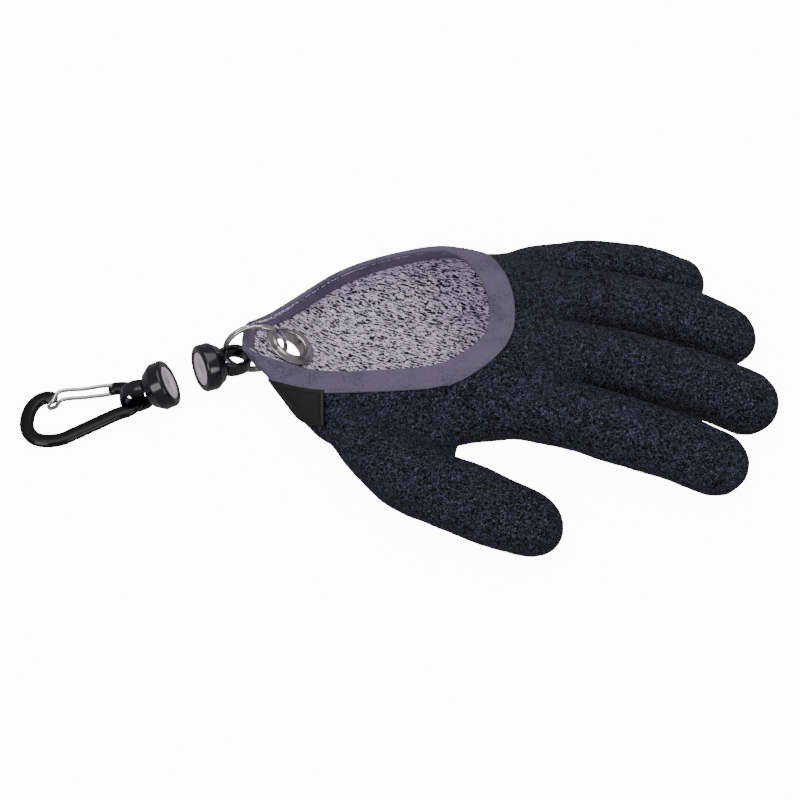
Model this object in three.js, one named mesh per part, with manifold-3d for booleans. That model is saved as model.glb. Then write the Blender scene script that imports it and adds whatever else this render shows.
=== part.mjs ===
import * as THREE from 'three';
import { mergeVertices } from 'three/addons/utils/BufferGeometryUtils.js';
import Module from 'manifold-3d';

const wasm = await Module();
wasm.setup();

// Driving sizes, in millimetres: the hand
const palmLength = 128;      // from the wrist tongue's tip to the roots of the fingers
const palmWidth = 104;
const palmHeight = 41;
const coatWall = 1.3;        // crinkled latex coat
const linerWall = 1.0;       // knitted inner layer
const seatGap = 0.3;         // clearance wherever two pieces touch
const coverGap = 0.55;       // clearance under the tape and the label, over the curved wall

// Driving sizes: the tape, label, eyelet and ring at the wrist
const tapeWidth = 10.5;
const tapeWall = 0.9;
const labelLength = 25;
const labelHeight = 13;
const labelWall = 1.1;
const eyeletHole = 12.7;
const eyeletFlange = 21;
const eyeletWall = 1.0;
const ringDiameter = 27;
const ringWire = 1.5;

// Driving sizes: the magnet holders
const holderDiameter = 20;
const holderDepth = 6.5;
const magnetDiameter = 14.4;
const magnetDepth = 4;
const lugLength = 14.8;
const lugWidth = 13;
const lugThickness = 4.4;
const lugWall = 2.2;
const lugReach = 15.4;       // from the holder's face to the middle of its lug

// Driving sizes: the carabiner
const clipLength = 49.5;
const barWidth = 4.7;
const barThickness = 3.2;
const barBevel = 0.7;
const gateWire = 1.4;

const wallTotal = coatWall + seatGap + linerWall;
const tipX = -0.516 * palmLength;

// Palm sections from the tongue's tip to the finger roots. along is a share of palmLength,
// near, far, nearRim and farRim are shares of palmWidth, foot is how far in the foot of each wall
// stands, as a share of the section's own width, and the rest are shares of palmHeight.
const palmColumns = [
  'along', 'near', 'far', 'floor', 'side', 'nearRim', 'farRim', 'nearRimUp', 'farRimUp', 'crown', 'foot',
];
const palmTable = [
  [0, 0.094, 0.198, 0.483, 0.51, 0.075, 0.218, 0.549, 0.546, 0.585, 0.27],
  [0.031, 0.065, 0.231, 0.42, 0.483, 0.058, 0.242, 0.551, 0.541, 0.598, 0.22],
  [0.078, 0.01, 0.287, 0.332, 0.444, 0.044, 0.279, 0.541, 0.527, 0.61, 0.16],
  [0.141, -0.088, 0.356, 0.22, 0.376, 0.015, 0.344, 0.541, 0.527, 0.646, 0.13],
  [0.219, -0.225, 0.427, 0.088, 0.317, -0.04, 0.412, 0.595, 0.576, 0.72, 0.13],
  [0.297, -0.327, 0.486, 0.024, 0.293, -0.081, 0.471, 0.668, 0.634, 0.793, 0.14],
  [0.391, -0.385, 0.535, 0, 0.307, -0.108, 0.509, 0.746, 0.707, 0.878, 0.15],
  [0.516, -0.389, 0.567, 0, 0.341, -0.121, 0.531, 0.81, 0.795, 0.939, 0.16],
  [0.641, -0.365, 0.587, 0, 0.39, -0.125, 0.529, 0.883, 0.868, 0.99, 0.16],
  [0.781, -0.337, 0.596, 0, 0.439, -0.096, 0.466, 0.937, 0.907, 1, 0.16],
  [0.891, -0.341, 0.62, 0.061, 0.488, -0.12, 0.457, 0.902, 0.863, 0.976, 0.16],
  [0.969, -0.346, 0.639, 0.171, 0.512, -0.139, 0.471, 0.839, 0.8, 0.912, 0.16],
  [1, -0.317, 0.606, 0.268, 0.512, -0.13, 0.452, 0.756, 0.732, 0.829, 0.16],
].map((row) => Object.fromEntries(row.map((value, i) => [palmColumns[i], value])));
const openingRow = 8;        // row of the table where the rounded end of the opening begins
const openingEnd = 0.8;      // how far the opening reaches, as a share of palmLength

// Fingers. root is a share of palmLength, palmWidth and palmHeight. side and lift are shares of the
// finger's own length at the stations of fingerStations, measured from its root.
const fingerStations = [0, 0.33, 0.67, 0.87, 1];
const fingers = [
  {
    name: 'thumb', length: 64.5, width: 31, height: 27, heading: -26, depth: 0.6, inset: 0.2, pinch: 0.6,
    root: [0.555, -0.545, 0.43],
    side: [0, 0.003, 0.02, 0.045, 0.06], lift: [0, -0.02, -0.055, -0.095, -0.097],
  },
  {
    name: 'index', length: 76, width: 29.6, height: 25, heading: 0, depth: 0.09, inset: 0, pinch: 1,
    root: [1, -0.253, 0.53],
    side: [0, -0.082, -0.178, -0.25, -0.313], lift: [0, -0.036, -0.098, -0.141, -0.143],
  },
  {
    name: 'middle', length: 92, width: 29.6, height: 25.6, heading: 0, depth: 0.07, inset: 0, pinch: 1,
    root: [1, 0.04, 0.6],
    side: [0, -0.046, -0.122, -0.18, -0.233], lift: [0, -0.029, -0.09, -0.143, -0.151],
  },
  {
    name: 'ring', length: 87, width: 28, height: 25, heading: 0, depth: 0.08, inset: 0, pinch: 1,
    root: [1, 0.32, 0.6],
    side: [0, 0.008, -0.036, -0.09, -0.138], lift: [0, -0.023, -0.09, -0.154, -0.161],
  },
  {
    name: 'little', length: 69, width: 23, height: 22, heading: 0, depth: 0.1, inset: 0, pinch: 1,
    root: [1, 0.539, 0.52],
    side: [0, 0.038, 0.058, 0.04, 0.007], lift: [0, -0.02, -0.1, -0.175, -0.18],
  },
];
const fingertipShare = 0.94; // width of the finger near its tip, as a share of its full width
const fingertipThick = 0.9;

// The narrowing of the tape round the tongue's tip
const tapeAtTip = 0.5;
const tapeEase = 1.6;

// Where the label and the eyelet sit
const labelAlong = 0.085;
const eyeletPlace = { along: 0.145, round: 0.95 };

// How the ring, the holders and the carabiner lie
const ringYaw = 0.17;
const ringSlack = -1.0;
const ringAcross = -2.2;
const gloveTurn = 0.47;
const gloveDip = 0.13;
const lugShift = [3.3, -0.4];
const clipTurn = 0.14;
const clipDip = 0.42;
const facesApart = [-11.2, -9.4];
const clipPitch = 0.054;
const clipRoll = 0.066;
const heldPlace = [0.957, 0.232];

// Carabiner centre line, in its own plane, as shares of clipLength from its left end
const clipLine = [
  [0.276, 0.26], [0.168, 0.27], [0.104, 0.229], [0.057, 0.141], [0.045, 0], [0.072, -0.09],
  [0.129, -0.153], [0.198, -0.18], [0.276, -0.184], [0.364, -0.166], [0.452, -0.119], [0.589, -0.043],
  [0.795, 0.072], [0.893, 0.113], [0.943, 0.17], [0.957, 0.241], [0.93, 0.304], [0.867, 0.339],
  [0.797, 0.349], [0.7, 0.335],
];
const gatePivot = [0.735, 0.337];
const gateNose = [0.295, 0.283];
const gateBight = [0.217, 0.175];

const columns = { bottom: 17, top: 8 };
const tau = 2 * Math.PI;

function vector(x, y, z) {
  return new THREE.Vector3(x, y, z);
}

// A closed solid from points and triangles
function solidFrom(points, triangles) {
  const vertProperties = new Float32Array(points.length * 3);
  points.forEach((p, i) => vertProperties.set([p.x, p.y, p.z], i * 3));
  const mesh = new wasm.Mesh({ numProp: 3, vertProperties, triVerts: Uint32Array.from(triangles.flat()) });
  return new wasm.Manifold(mesh);
}

// A three.js geometry as a solid, placed by a matrix
function solidFromGeometry(geometry, matrix) {
  const plain = geometry.clone();
  plain.deleteAttribute('normal');
  plain.deleteAttribute('uv');
  const merged = mergeVertices(plain, 1e-4);
  if (matrix) {
    merged.applyMatrix4(matrix);
  }
  const position = merged.getAttribute('position');
  const triVerts = Uint32Array.from(merged.getIndex().array);
  const mesh = new wasm.Mesh({ numProp: 3, vertProperties: Float32Array.from(position.array), triVerts });
  return new wasm.Manifold(mesh);
}

// The largest body of a solid, so that no crumb of a cut is kept
function largest(solid) {
  const bodies = solid.decompose();
  return bodies.reduce((best, body) => (body.volume() > best.volume() ? body : best));
}

// Rings of points joined into a closed tube, with a fan over each end, or end to end as a loop
function tubeSolid(rings, loop = false) {
  const count = rings[0].length;
  const points = rings.flat();
  const triangles = [];
  const last = loop ? rings.length : rings.length - 1;
  for (let j = 0; j < last; j += 1) {
    const here = j * count;
    const next = ((j + 1) % rings.length) * count;
    for (let i = 0; i < count; i += 1) {
      const k = (i + 1) % count;
      triangles.push([here + i, here + k, next + k], [here + i, next + k, next + i]);
    }
  }
  if (!loop) {
    [[0, 1], [rings.length - 1, -1]].forEach(([j, turn]) => {
      const middle = points.length;
      const centre = rings[j].reduce((sum, p) => sum.add(p), vector(0, 0, 0)).divideScalar(count);
      points.push(centre);
      for (let i = 0; i < count; i += 1) {
        const a = j * count + i;
        const b = j * count + (i + 1) % count;
        triangles.push(turn > 0 ? [middle, b, a] : [middle, a, b]);
      }
    });
  }
  const solid = solidFrom(points, triangles);
  if (solid.volume() >= 0) {
    return solid;
  }
  return solidFrom(points, triangles.map(([a, b, c]) => [a, c, b]));
}

// A sheet with thickness: each point moves along its normal to both faces, and open edges are walled
function sheetSolid(points, normals, triangles, outer, inner) {
  const count = points.length;
  const faces = [outer, inner].flatMap((offset) => points.map((p, i) => p.clone().addScaledVector(normals[i], offset)));
  const edges = new Map();
  triangles.forEach(([a, b, c]) => [[a, b], [b, c], [c, a]].forEach(([p, q]) => edges.set(`${p},${q}`, [p, q])));
  const all = triangles.map((t) => [...t]);
  triangles.forEach(([a, b, c]) => all.push([a + count, c + count, b + count]));
  edges.forEach(([p, q]) => {
    if (!edges.has(`${q},${p}`)) {
      all.push([q, p, p + count], [q, p + count, q + count]);
    }
  });
  const solid = solidFrom(faces, all);
  if (solid.volume() >= 0) {
    return solid;
  }
  return solidFrom(faces, all.map(([a, b, c]) => [a, c, b]));
}

// The hand's surface: u runs along the table's rows, v goes round from the keel by the near wall,
// the near rim, the crown and the far rim
const sectionPoints = palmTable.map((row) => {
  const x = tipX + row.along * palmLength;
  const middle = (row.near + row.far) / 2;
  const inset = row.foot * (row.far - row.near);
  const at = (across, up) => vector(x, across * palmWidth, up * palmHeight);
  return [
    at(middle, row.floor), at(row.near + inset, row.floor), at(row.near, row.side),
    at(row.nearRim, row.nearRimUp), at((row.nearRim + row.farRim) / 2, row.crown), at(row.farRim, row.farRimUp),
    at(row.far, row.side), at(row.far - inset, row.floor),
  ];
});
const railCurves = sectionPoints[0].map((_, k) => new THREE.CatmullRomCurve3(sectionPoints.map((row) => row[k])));
const sectionCache = new Map();
function section(u) {
  const key = u.toFixed(6);
  if (!sectionCache.has(key)) {
    sectionCache.set(key, new THREE.CatmullRomCurve3(railCurves.map((rail) => rail.getPoint(u)), true));
  }
  return sectionCache.get(key);
}
function surface(u, v) {
  const p = section(Math.min(1, Math.max(0, u))).getPoint(((v % 1) + 1) % 1);
  return p.setZ(Math.max(0, p.z));
}
function slopes(u, v) {
  const step = 0.02;
  const u0 = Math.min(1 - step, Math.max(0, u - step));
  const u1 = Math.max(step, Math.min(1, u + step));
  const alongU = surface(u1, v).sub(surface(u0, v)).divideScalar(u1 - u0);
  const alongV = surface(u, v + step).sub(surface(u, v - step)).divideScalar(2 * step);
  return { alongU, alongV };
}
// The opening: from the near rim over the back of the hand to the far rim
const nearV = 3 / 8;
const farV = 5 / 8;
const rowCount = palmTable.length;
const openingU = openingRow / (rowCount - 1);

// The outward normal. Beside the open rim it is taken a little way in, where the cloth really lies.
const rimMargin = 0.035;
function normalAt(u, v) {
  let place = v;
  if (u < openingU) {
    const under = 1 - (farV - nearV);
    const round = (((v - farV) % 1) + 1) % 1;
    const inFrom = round > (1 + under) / 2 ? 0 : round;
    place = farV + THREE.MathUtils.clamp(inFrom, rimMargin, under - rimMargin);
  }
  const { alongU, alongV } = slopes(u, place);
  return alongV.cross(alongU).normalize().negate();
}

function uAtShare(along) {
  const rail = railCurves[4];
  const target = tipX + along * palmLength;
  let low = 0;
  let high = 1;
  for (let i = 0; i < 30; i += 1) {
    const u = (low + high) / 2;
    if (rail.getPoint(u).x < target) {
      low = u;
    } else {
      high = u;
    }
  }
  return low;
}
const endArc = new THREE.CatmullRomCurve3(
  [[0, 0], [0.08, 0.62], [0.2, 0.93], [0.38, 1], [0.56, 0.96], [0.72, 0.8], [0.87, 0.5], [1, 0]]
    .map(([over, forward]) => vector(over, forward, 0)),
);
function endForward(over) {
  let low = 0;
  let high = 1;
  for (let i = 0; i < 30; i += 1) {
    const t = (low + high) / 2;
    if (endArc.getPoint(t).x < over) {
      low = t;
    } else {
      high = t;
    }
  }
  return endArc.getPoint(low).y;
}
const openingReach = uAtShare(openingEnd) - openingU;
function rimU(v) {
  return openingU + openingReach * endForward((v - nearV) / (farV - nearV));
}

// The places round a section: under the hand from the far rim to the near rim, then over its back
const places = [
  ...Array.from({ length: columns.bottom }, (_, i) => farV + (i / columns.bottom) * (1 - (farV - nearV))),
  ...Array.from({ length: columns.top }, (_, i) => nearV + 1 + (i / columns.top) * (farV - nearV)),
];

// The open hand sheet as points, normals and triangles
function handSheet() {
  const us = palmTable.map((_, j) => j / (rowCount - 1));
  const points = [];
  const normals = [];
  const index = places.map((v, i) => us.map((u, j) => {
    const overTop = i > columns.bottom;
    if (overTop && j < openingRow) {
      return -1;
    }
    let here = u;
    if (overTop) {
      const start = rimU(v - 1);
      here = start + ((u - openingU) / (1 - openingU)) * (1 - start);
    }
    points.push(surface(here, v));
    normals.push(normalAt(here, v));
    return points.length - 1;
  }));
  const triangles = [];
  places.forEach((_, i) => {
    const k = (i + 1) % places.length;
    for (let j = 0; j < us.length - 1; j += 1) {
      const quad = [index[i][j], index[k][j], index[k][j + 1], index[i][j + 1]];
      if (quad.every((id) => id >= 0)) {
        triangles.push([quad[0], quad[1], quad[2]], [quad[0], quad[2], quad[3]]);
      }
    }
  });
  const front = index.map((column) => column[us.length - 1]);
  const centre = front.reduce((sum, id) => sum.add(points[id]), vector(0, 0, 0)).divideScalar(front.length);
  points.push(centre);
  normals.push(vector(1, 0, 0));
  front.forEach((id, i) => triangles.push([id, front[(i + 1) % front.length], points.length - 1]));
  front.forEach((id) => normals[id].add(vector(0.8, 0, 0)).normalize());
  return { points, normals, triangles };
}

// The whole hand as a solid without its opening, used to trim the roots of the fingers
function handSolid(grow) {
  const rings = palmTable.map((_, j) => {
    const u = j / (rowCount - 1);
    return places.map((v) => {
      const p = surface(u, v).addScaledVector(normalAt(u, v), grow);
      return j === rowCount - 1 ? p.setX(p.x + grow) : p;
    });
  });
  return tubeSolid(rings.slice(1));
}

// One finger: oval sections along its centre line, rounded off at the tip
const fingerSides = 10;
function fingerSolid(finger, offset) {
  const heading = finger.heading * Math.PI / 180;
  const root = vector(
    tipX + finger.root[0] * palmLength,
    finger.root[1] * palmWidth,
    finger.root[2] * palmHeight,
  );
  const at = (along, side, lift) => vector(
    root.x + finger.length * (along * Math.cos(heading) - side * Math.sin(heading)),
    root.y + finger.length * (along * Math.sin(heading) + side * Math.cos(heading)),
    root.z + finger.length * lift,
  );
  const line = fingerStations.map((along, i) => at(along, finger.side[i], finger.lift[i]));
  line.unshift(at(-finger.depth, finger.inset, 0));
  const curve = new THREE.CatmullRomCurve3(line);
  const rounding = 0.5 * finger.width;
  const total = curve.getLength();
  const stations = [0, 0.14, 0.3, 0.52, 0.76];
  const bodyEnd = 1 - rounding / total;
  const cap = [0, 0.42, 0.74, 0.94].map((step) => bodyEnd + (1 - bodyEnd) * step);
  const along = [...stations.map((step) => step * bodyEnd), ...cap];
  const rings = along.map((t) => {
    const centre = curve.getPointAt(t);
    const ahead = curve.getTangentAt(t);
    const sideways = vector(-ahead.y, ahead.x, 0).normalize();
    const up = ahead.clone().cross(sideways).normalize();
    const round = t > bodyEnd ? Math.sqrt(Math.max(0, 1 - ((t - bodyEnd) / (1 - bodyEnd)) ** 2)) : 1;
    const rootShare = finger.depth / (finger.depth + 1);
    const swell = t < rootShare ? finger.pinch + (1 - finger.pinch) * Math.sin((t / rootShare) * Math.PI / 2) : 1;
    const slim = THREE.MathUtils.lerp(1, fingertipShare, t);
    const thin = THREE.MathUtils.lerp(1, fingertipThick, t);
    const halfWidth = Math.max(0.6, 0.5 * finger.width * slim * swell * round + offset);
    const halfHeight = Math.max(0.6, 0.5 * finger.height * thin * swell * round + offset);
    const forward = t === along[along.length - 1] ? offset : offset * (1 - round);
    return Array.from({ length: fingerSides }, (_, i) => {
      const angle = tau * (i + 0.5) / fingerSides;
      return centre.clone()
        .addScaledVector(ahead, forward)
        .addScaledVector(sideways, halfWidth * Math.cos(angle))
        .addScaledVector(up, halfHeight * Math.sin(angle));
    });
  });
  return tubeSolid(rings);
}

// A point of the surface at a distance from another, going along a direction that lies in it
function stepAlong(u, v, direction, distance) {
  const steps = Math.max(1, Math.ceil(Math.abs(distance) / 2.5));
  let here = { u, v };
  for (let i = 0; i < steps; i += 1) {
    const { alongU, alongV } = slopes(here.u, here.v);
    const a = alongU.dot(alongU);
    const b = alongU.dot(alongV);
    const c = alongV.dot(alongV);
    const p = alongU.dot(direction) * distance / steps;
    const q = alongV.dot(direction) * distance / steps;
    const determinant = a * c - b * b;
    here = { u: here.u + (c * p - b * q) / determinant, v: here.v + (a * q - b * p) / determinant };
  }
  return here;
}

// The rim of the opening as places on the surface: back along the near rim, round the tongue's tip
// under the section, out along the far rim and back over the hand
function rimPlaces() {
  const rim = [];
  const sideSteps = 10;
  const tipSteps = 6;
  const overSteps = 12;
  for (let i = 0; i < sideSteps; i += 1) {
    rim.push({ u: openingU * (1 - i / sideSteps), v: nearV, tip: 0 });
  }
  for (let i = 0; i < tipSteps; i += 1) {
    rim.push({ u: 0, v: nearV - (i / tipSteps) * (1 - (farV - nearV)), tip: 1 });
  }
  for (let i = 0; i < sideSteps; i += 1) {
    rim.push({ u: openingU * (i / sideSteps), v: farV, tip: 0 });
  }
  for (let i = 0; i < overSteps; i += 1) {
    const v = farV - (i / overSteps) * (farV - nearV);
    rim.push({ u: rimU(v), v, tip: 0 });
  }
  return rim;
}
// The tape as a thick band that straddles the rim, wide along the sides and narrow round the tip
function tapeBand() {
  const rim = rimPlaces();
  const rimPoints = rim.map(({ u, v }) => surface(u, v));
  const reach = coverGap + tapeWall;
  const tipX0 = Math.min(...rimPoints.map((p) => p.x));
  const shares = [0, 0.5, 1];
  const points = [];
  const normals = [];
  rim.forEach(({ u, v }, k) => {
    const ahead = rimPoints[(k + 1) % rim.length].clone();
    ahead.sub(rimPoints[(k + rim.length - 1) % rim.length]).normalize();
    const normal = normalAt(u, v);
    const inward = normal.clone().cross(ahead).normalize();
    const fromTip = Math.min(1, (rimPoints[k].x - tipX0) / (tapeEase * tapeWidth));
    const width = tapeWidth * THREE.MathUtils.lerp(tapeAtTip, 1, THREE.MathUtils.smoothstep(fromTip, 0, 1));
    points.push(rimPoints[k].clone().addScaledVector(inward, -reach));
    normals.push(normal);
    shares.forEach((share) => {
      const here = share ? stepAlong(u, v, inward, share * width) : { u, v };
      points.push(surface(here.u, here.v));
      normals.push(normalAt(here.u, here.v));
    });
  });
  const across = shares.length + 1;
  const triangles = [];
  rim.forEach((_, k) => {
    const here = k * across;
    const next = ((k + 1) % rim.length) * across;
    for (let m = 0; m < across - 1; m += 1) {
      triangles.push([here + m, next + m + 1, here + m + 1], [here + m, next + m, next + m + 1]);
    }
  });
  return sheetSolid(points, normals, triangles, reach, -wallTotal - reach);
}

// A sheet whose open edges are moved outwards, so that what covers them keeps its clearance
function grownEdges({ points, normals, triangles }, amount) {
  const edges = new Set(triangles.flatMap(([a, b, c]) => [`${a},${b}`, `${b},${c}`, `${c},${a}`]));
  const outward = new Map();
  triangles.forEach(([a, b, c]) => [[a, b, c], [b, c, a], [c, a, b]].forEach(([p, q, other]) => {
    if (edges.has(`${q},${p}`)) {
      return;
    }
    const along = points[q].clone().sub(points[p]).normalize();
    const away = points[p].clone().sub(points[other]);
    away.addScaledVector(along, -away.dot(along)).normalize();
    [p, q].forEach((id) => outward.set(id, [...(outward.get(id) ?? []), away]));
  }));
  const moved = points.map((p) => p.clone());
  outward.forEach(([first, second], id) => {
    moved[id].addScaledVector(first.clone().add(second), amount / (1 + first.dot(second)));
  });
  return { points: moved, normals, triangles };
}

// The label: a patch of the near wall, just below the tape
function labelSheet() {
  const steps = 8;
  const drops = 4;
  const points = [];
  const normals = [];
  for (let i = 0; i <= steps; i += 1) {
    const u = uAtShare(labelAlong + (i / steps) * labelLength / palmLength);
    const down = slopes(u, nearV).alongV.normalize().negate();
    for (let m = 0; m <= drops; m += 1) {
      const here = stepAlong(u, nearV, down, tapeWidth + 4 * seatGap + (m / drops) * labelHeight);
      points.push(surface(here.u, here.v));
      normals.push(normalAt(here.u, here.v));
    }
  }
  const triangles = [];
  for (let i = 0; i < steps; i += 1) {
    for (let m = 0; m < drops; m += 1) {
      const here = i * (drops + 1) + m;
      const next = here + drops + 1;
      triangles.push([here, here + 1, next + 1], [here, next + 1, next]);
    }
  }
  return { points, normals, triangles };
}

// A turned piece from a closed profile of [radius, height], about its own Y
function turned(profile, sides, matrix) {
  const points = [...profile, profile[0]].map(([r, h]) => new THREE.Vector2(r, h));
  const solid = solidFromGeometry(new THREE.LatheGeometry(points, sides), matrix);
  return solid.volume() >= 0 ? solid : solidFromGeometry(new THREE.LatheGeometry(points.reverse(), sides), matrix);
}

// The eyelet, a flanged barrel through the wall of the tongue, larger by grow where it cuts
function eyeletSolid(matrix, grow) {
  const hole = grow ? 0 : eyeletHole / 2;
  const barrel = eyeletHole / 2 + eyeletWall + grow;
  const seat = wallTotal / 2 + seatGap - grow;
  const top = wallTotal / 2 + seatGap + eyeletWall + grow;
  const flange = eyeletFlange / 2 + grow;
  return turned([
    [hole, -top], [flange - 0.4, -top], [flange, -seat - 0.4], [flange, -seat], [barrel, -seat], [barrel, seat],
    [flange, seat], [flange, seat + 0.4], [flange - 0.4, top], [barrel + 1, top], [barrel, top + 0.4],
    [hole + (grow ? 0 : 0.3), top + 0.4], [hole, top],
  ], 16, matrix);
}

// A round wire along points, with the given number of sides
function wireSolid(points, diameter, sides, upHint) {
  const rings = points.map((p, i) => {
    const ahead = points[Math.min(points.length - 1, i + 1)].clone().sub(points[Math.max(0, i - 1)]).normalize();
    const sideways = ahead.clone().cross(upHint(p)).normalize();
    const up = sideways.clone().cross(ahead).normalize();
    return Array.from({ length: sides }, (_, k) => {
      const angle = tau * k / sides;
      return p.clone()
        .addScaledVector(sideways, 0.5 * diameter * Math.cos(angle))
        .addScaledVector(up, 0.5 * diameter * Math.sin(angle));
    });
  });
  return tubeSolid(rings);
}

// The split ring in its own XY plane: two turns of wire side by side
function ringSolid(matrix) {
  const radius = (ringDiameter - ringWire) / 2;
  const turns = 1.94;
  const steps = 42;
  const pitch = ringWire * 1.1;
  const points = Array.from({ length: steps + 1 }, (_, i) => {
    const angle = tau * (turns * i / steps + 0.27);
    return vector(radius * Math.cos(angle), radius * Math.sin(angle), pitch * (turns * i / steps - turns / 2));
  });
  return wireSolid(points, ringWire, 6, (p) => p.clone().setZ(0).normalize()).transform(matrix.elements);
}

// A stadium outline: a slot with round ends, its length along X
function stadium(length, width) {
  const shape = new THREE.Shape();
  const radius = width / 2;
  const straight = length / 2 - radius;
  shape.absarc(straight, 0, radius, -Math.PI / 2, Math.PI / 2, false);
  shape.absarc(-straight, 0, radius, Math.PI / 2, 3 * Math.PI / 2, false);
  return shape;
}
function stadiumSolid(length, width, thickness, centre, upright) {
  const geometry = new THREE.ExtrudeGeometry(stadium(length, width), {
    depth: thickness, bevelEnabled: false, curveSegments: 7,
  });
  geometry.translate(0, 0, -thickness / 2);
  const matrix = new THREE.Matrix4().makeTranslation(centre, 0, 0);
  if (upright) {
    matrix.multiply(new THREE.Matrix4().makeRotationX(Math.PI / 2));
  }
  return solidFromGeometry(geometry, matrix);
}

// A magnet holder along its own X, its face at 0 and its lug behind. upright turns the lug on edge.
const faceRecess = 0.4;
const chamfer = 0.7;
const toX = new THREE.Matrix4().makeRotationZ(-Math.PI / 2);
function holderSolid(upright) {
  const radius = holderDiameter / 2;
  const pocket = magnetDiameter / 2 + seatGap;
  const pocketDepth = faceRecess + magnetDepth + seatGap;
  const neck = lugReach - lugLength / 2 + lugWall;
  const body = turned([
    [0, pocketDepth], [pocket, pocketDepth], [pocket, 0], [radius - chamfer, 0], [radius, chamfer],
    [radius, holderDepth - chamfer], [radius - chamfer, holderDepth], [lugWidth / 2, neck], [0, neck],
  ], 20, toX);
  const lug = stadiumSolid(lugLength, lugWidth, lugThickness, lugReach, upright);
  const slot = stadiumSolid(lugLength - 2 * lugWall, lugWidth - 2 * lugWall, 3 * lugThickness, lugReach, upright);
  return largest(body.add(lug).subtract(slot));
}
function magnetSolid() {
  const radius = magnetDiameter / 2;
  return turned([
    [0, faceRecess], [radius - 0.4, faceRecess], [radius, faceRecess + 0.4],
    [radius, faceRecess + magnetDepth], [0, faceRecess + magnetDepth],
  ], 20, toX);
}

// A frame whose X runs along a direction and whose Z stays as upright as it can
function facing(origin, x) {
  const along = x.clone().normalize();
  const across = vector(0, 0, 1).cross(along).normalize();
  const up = along.clone().cross(across);
  return new THREE.Matrix4().makeBasis(along, across, up).setPosition(origin);
}

// The carabiner's flat bar: a bevelled oblong carried along its centre line
function clipPoint([along, across], height = 0) {
  return vector(along * clipLength, across * clipLength, height);
}
function barSolid() {
  const curve = new THREE.CatmullRomCurve3(clipLine.map((share) => clipPoint(share)));
  const steps = 34;
  const w = barWidth / 2;
  const t = barThickness / 2;
  const outline = [
    [w, -t + barBevel], [w, t - barBevel], [w - barBevel, t], [-w + barBevel, t],
    [-w, t - barBevel], [-w, -t + barBevel], [-w + barBevel, -t], [w - barBevel, -t],
  ];
  const rings = Array.from({ length: steps + 1 }, (_, i) => {
    const centre = curve.getPointAt(i / steps);
    const ahead = curve.getTangentAt(i / steps);
    const sideways = vector(-ahead.y, ahead.x, 0);
    const ease = i === 0 || i === steps ? 0.75 : 1;
    return outline.map(([a, b]) => centre.clone().addScaledVector(sideways, a * ease).setZ(b * ease));
  });
  const pin = new THREE.CylinderGeometry(gateWire / 2 + seatGap, gateWire / 2 + seatGap, 4 * barThickness, 10);
  const pinPlace = new THREE.Matrix4().setPosition(clipPoint(gatePivot))
    .multiply(new THREE.Matrix4().makeRotationX(Math.PI / 2));
  return tubeSolid(rings).subtract(solidFromGeometry(pin, pinPlace));
}

// The wire gate: down into the pivot hole, along one face, round the nose and back along the other
function gateSolid() {
  const offset = barThickness / 2 + coverGap + gateWire / 2;
  const half = [
    clipPoint(gatePivot, 0.35 * barThickness),
    clipPoint(gatePivot, offset - 0.35 * gateWire),
    clipPoint([gatePivot[0] - 0.012, gatePivot[1]], offset),
    clipPoint([(gatePivot[0] + gateNose[0]) / 2, (gatePivot[1] + gateNose[1]) / 2], offset),
    clipPoint(gateNose, offset),
    clipPoint([(gateNose[0] + gateBight[0]) / 2, (gateNose[1] + 2 * gateBight[1]) / 3], 0.86 * offset),
    clipPoint(gateBight, 0.35 * offset),
  ];
  const mirrored = [...half].reverse().map((p) => p.clone().setZ(-p.z));
  const curve = new THREE.CatmullRomCurve3([...half, ...mirrored], false, 'catmullrom', 0.35);
  const count = 30;
  const points = Array.from({ length: count + 1 }, (_, i) => curve.getPointAt(i / count));
  return wireSolid(points, gateWire, 6, () => vector(0.13, 0.99, 0.05).normalize());
}

const latex = { color: 0x24242e, roughness: 0.62, metalness: 0 };
const knit = { color: 0xbdb7cc, roughness: 0.95, metalness: 0 };
const tape = { color: 0x726b80, roughness: 0.9, metalness: 0 };
const labelCloth = { color: 0x191920, roughness: 0.8, metalness: 0 };
const steel = { color: 0xb4aeb0, roughness: 0.25, metalness: 1 };
const plastic = { color: 0x111116, roughness: 0.3, metalness: 0 };
const nickel = { color: 0xb7acbc, roughness: 0.3, metalness: 1 };
const anodised = { color: 0x0e0e13, roughness: 0.3, metalness: 0.6 };

const model = new THREE.Group();
function addPiece(name, solid, material, place) {
  const mesh = solid.getMesh();
  const geometry = new THREE.BufferGeometry();
  geometry.setAttribute('position', new THREE.BufferAttribute(Float32Array.from(mesh.vertProperties), 3));
  geometry.setIndex(new THREE.BufferAttribute(Uint32Array.from(mesh.triVerts), 1));
  const piece = new THREE.Mesh(geometry, new THREE.MeshStandardMaterial(material));
  piece.name = name;
  if (place) {
    place.decompose(piece.position, piece.quaternion, piece.scale);
  }
  model.add(piece);
  return piece;
}

// The glove
const sheet = handSheet();
let coat = sheetSolid(sheet.points, sheet.normals, sheet.triangles, 0, -coatWall);
let liner = sheetSolid(sheet.points, sheet.normals, sheet.triangles, -coatWall - seatGap, -wallTotal);
const grown = grownEdges(sheet, coverGap);
const grownWall = sheetSolid(grown.points, grown.normals, grown.triangles, coverGap, -wallTotal - coverGap);
let taken = handSolid(seatGap);
fingers.forEach((finger) => {
  const cavity = fingerSolid(finger, -wallTotal);
  const shell = largest(fingerSolid(finger, 0).subtract(taken).subtract(cavity));
  taken = taken.add(fingerSolid(finger, seatGap));
  coat = coat.subtract(cavity);
  liner = liner.subtract(cavity);
  addPiece(`${finger.name}_coat`, shell, latex);
});

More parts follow.
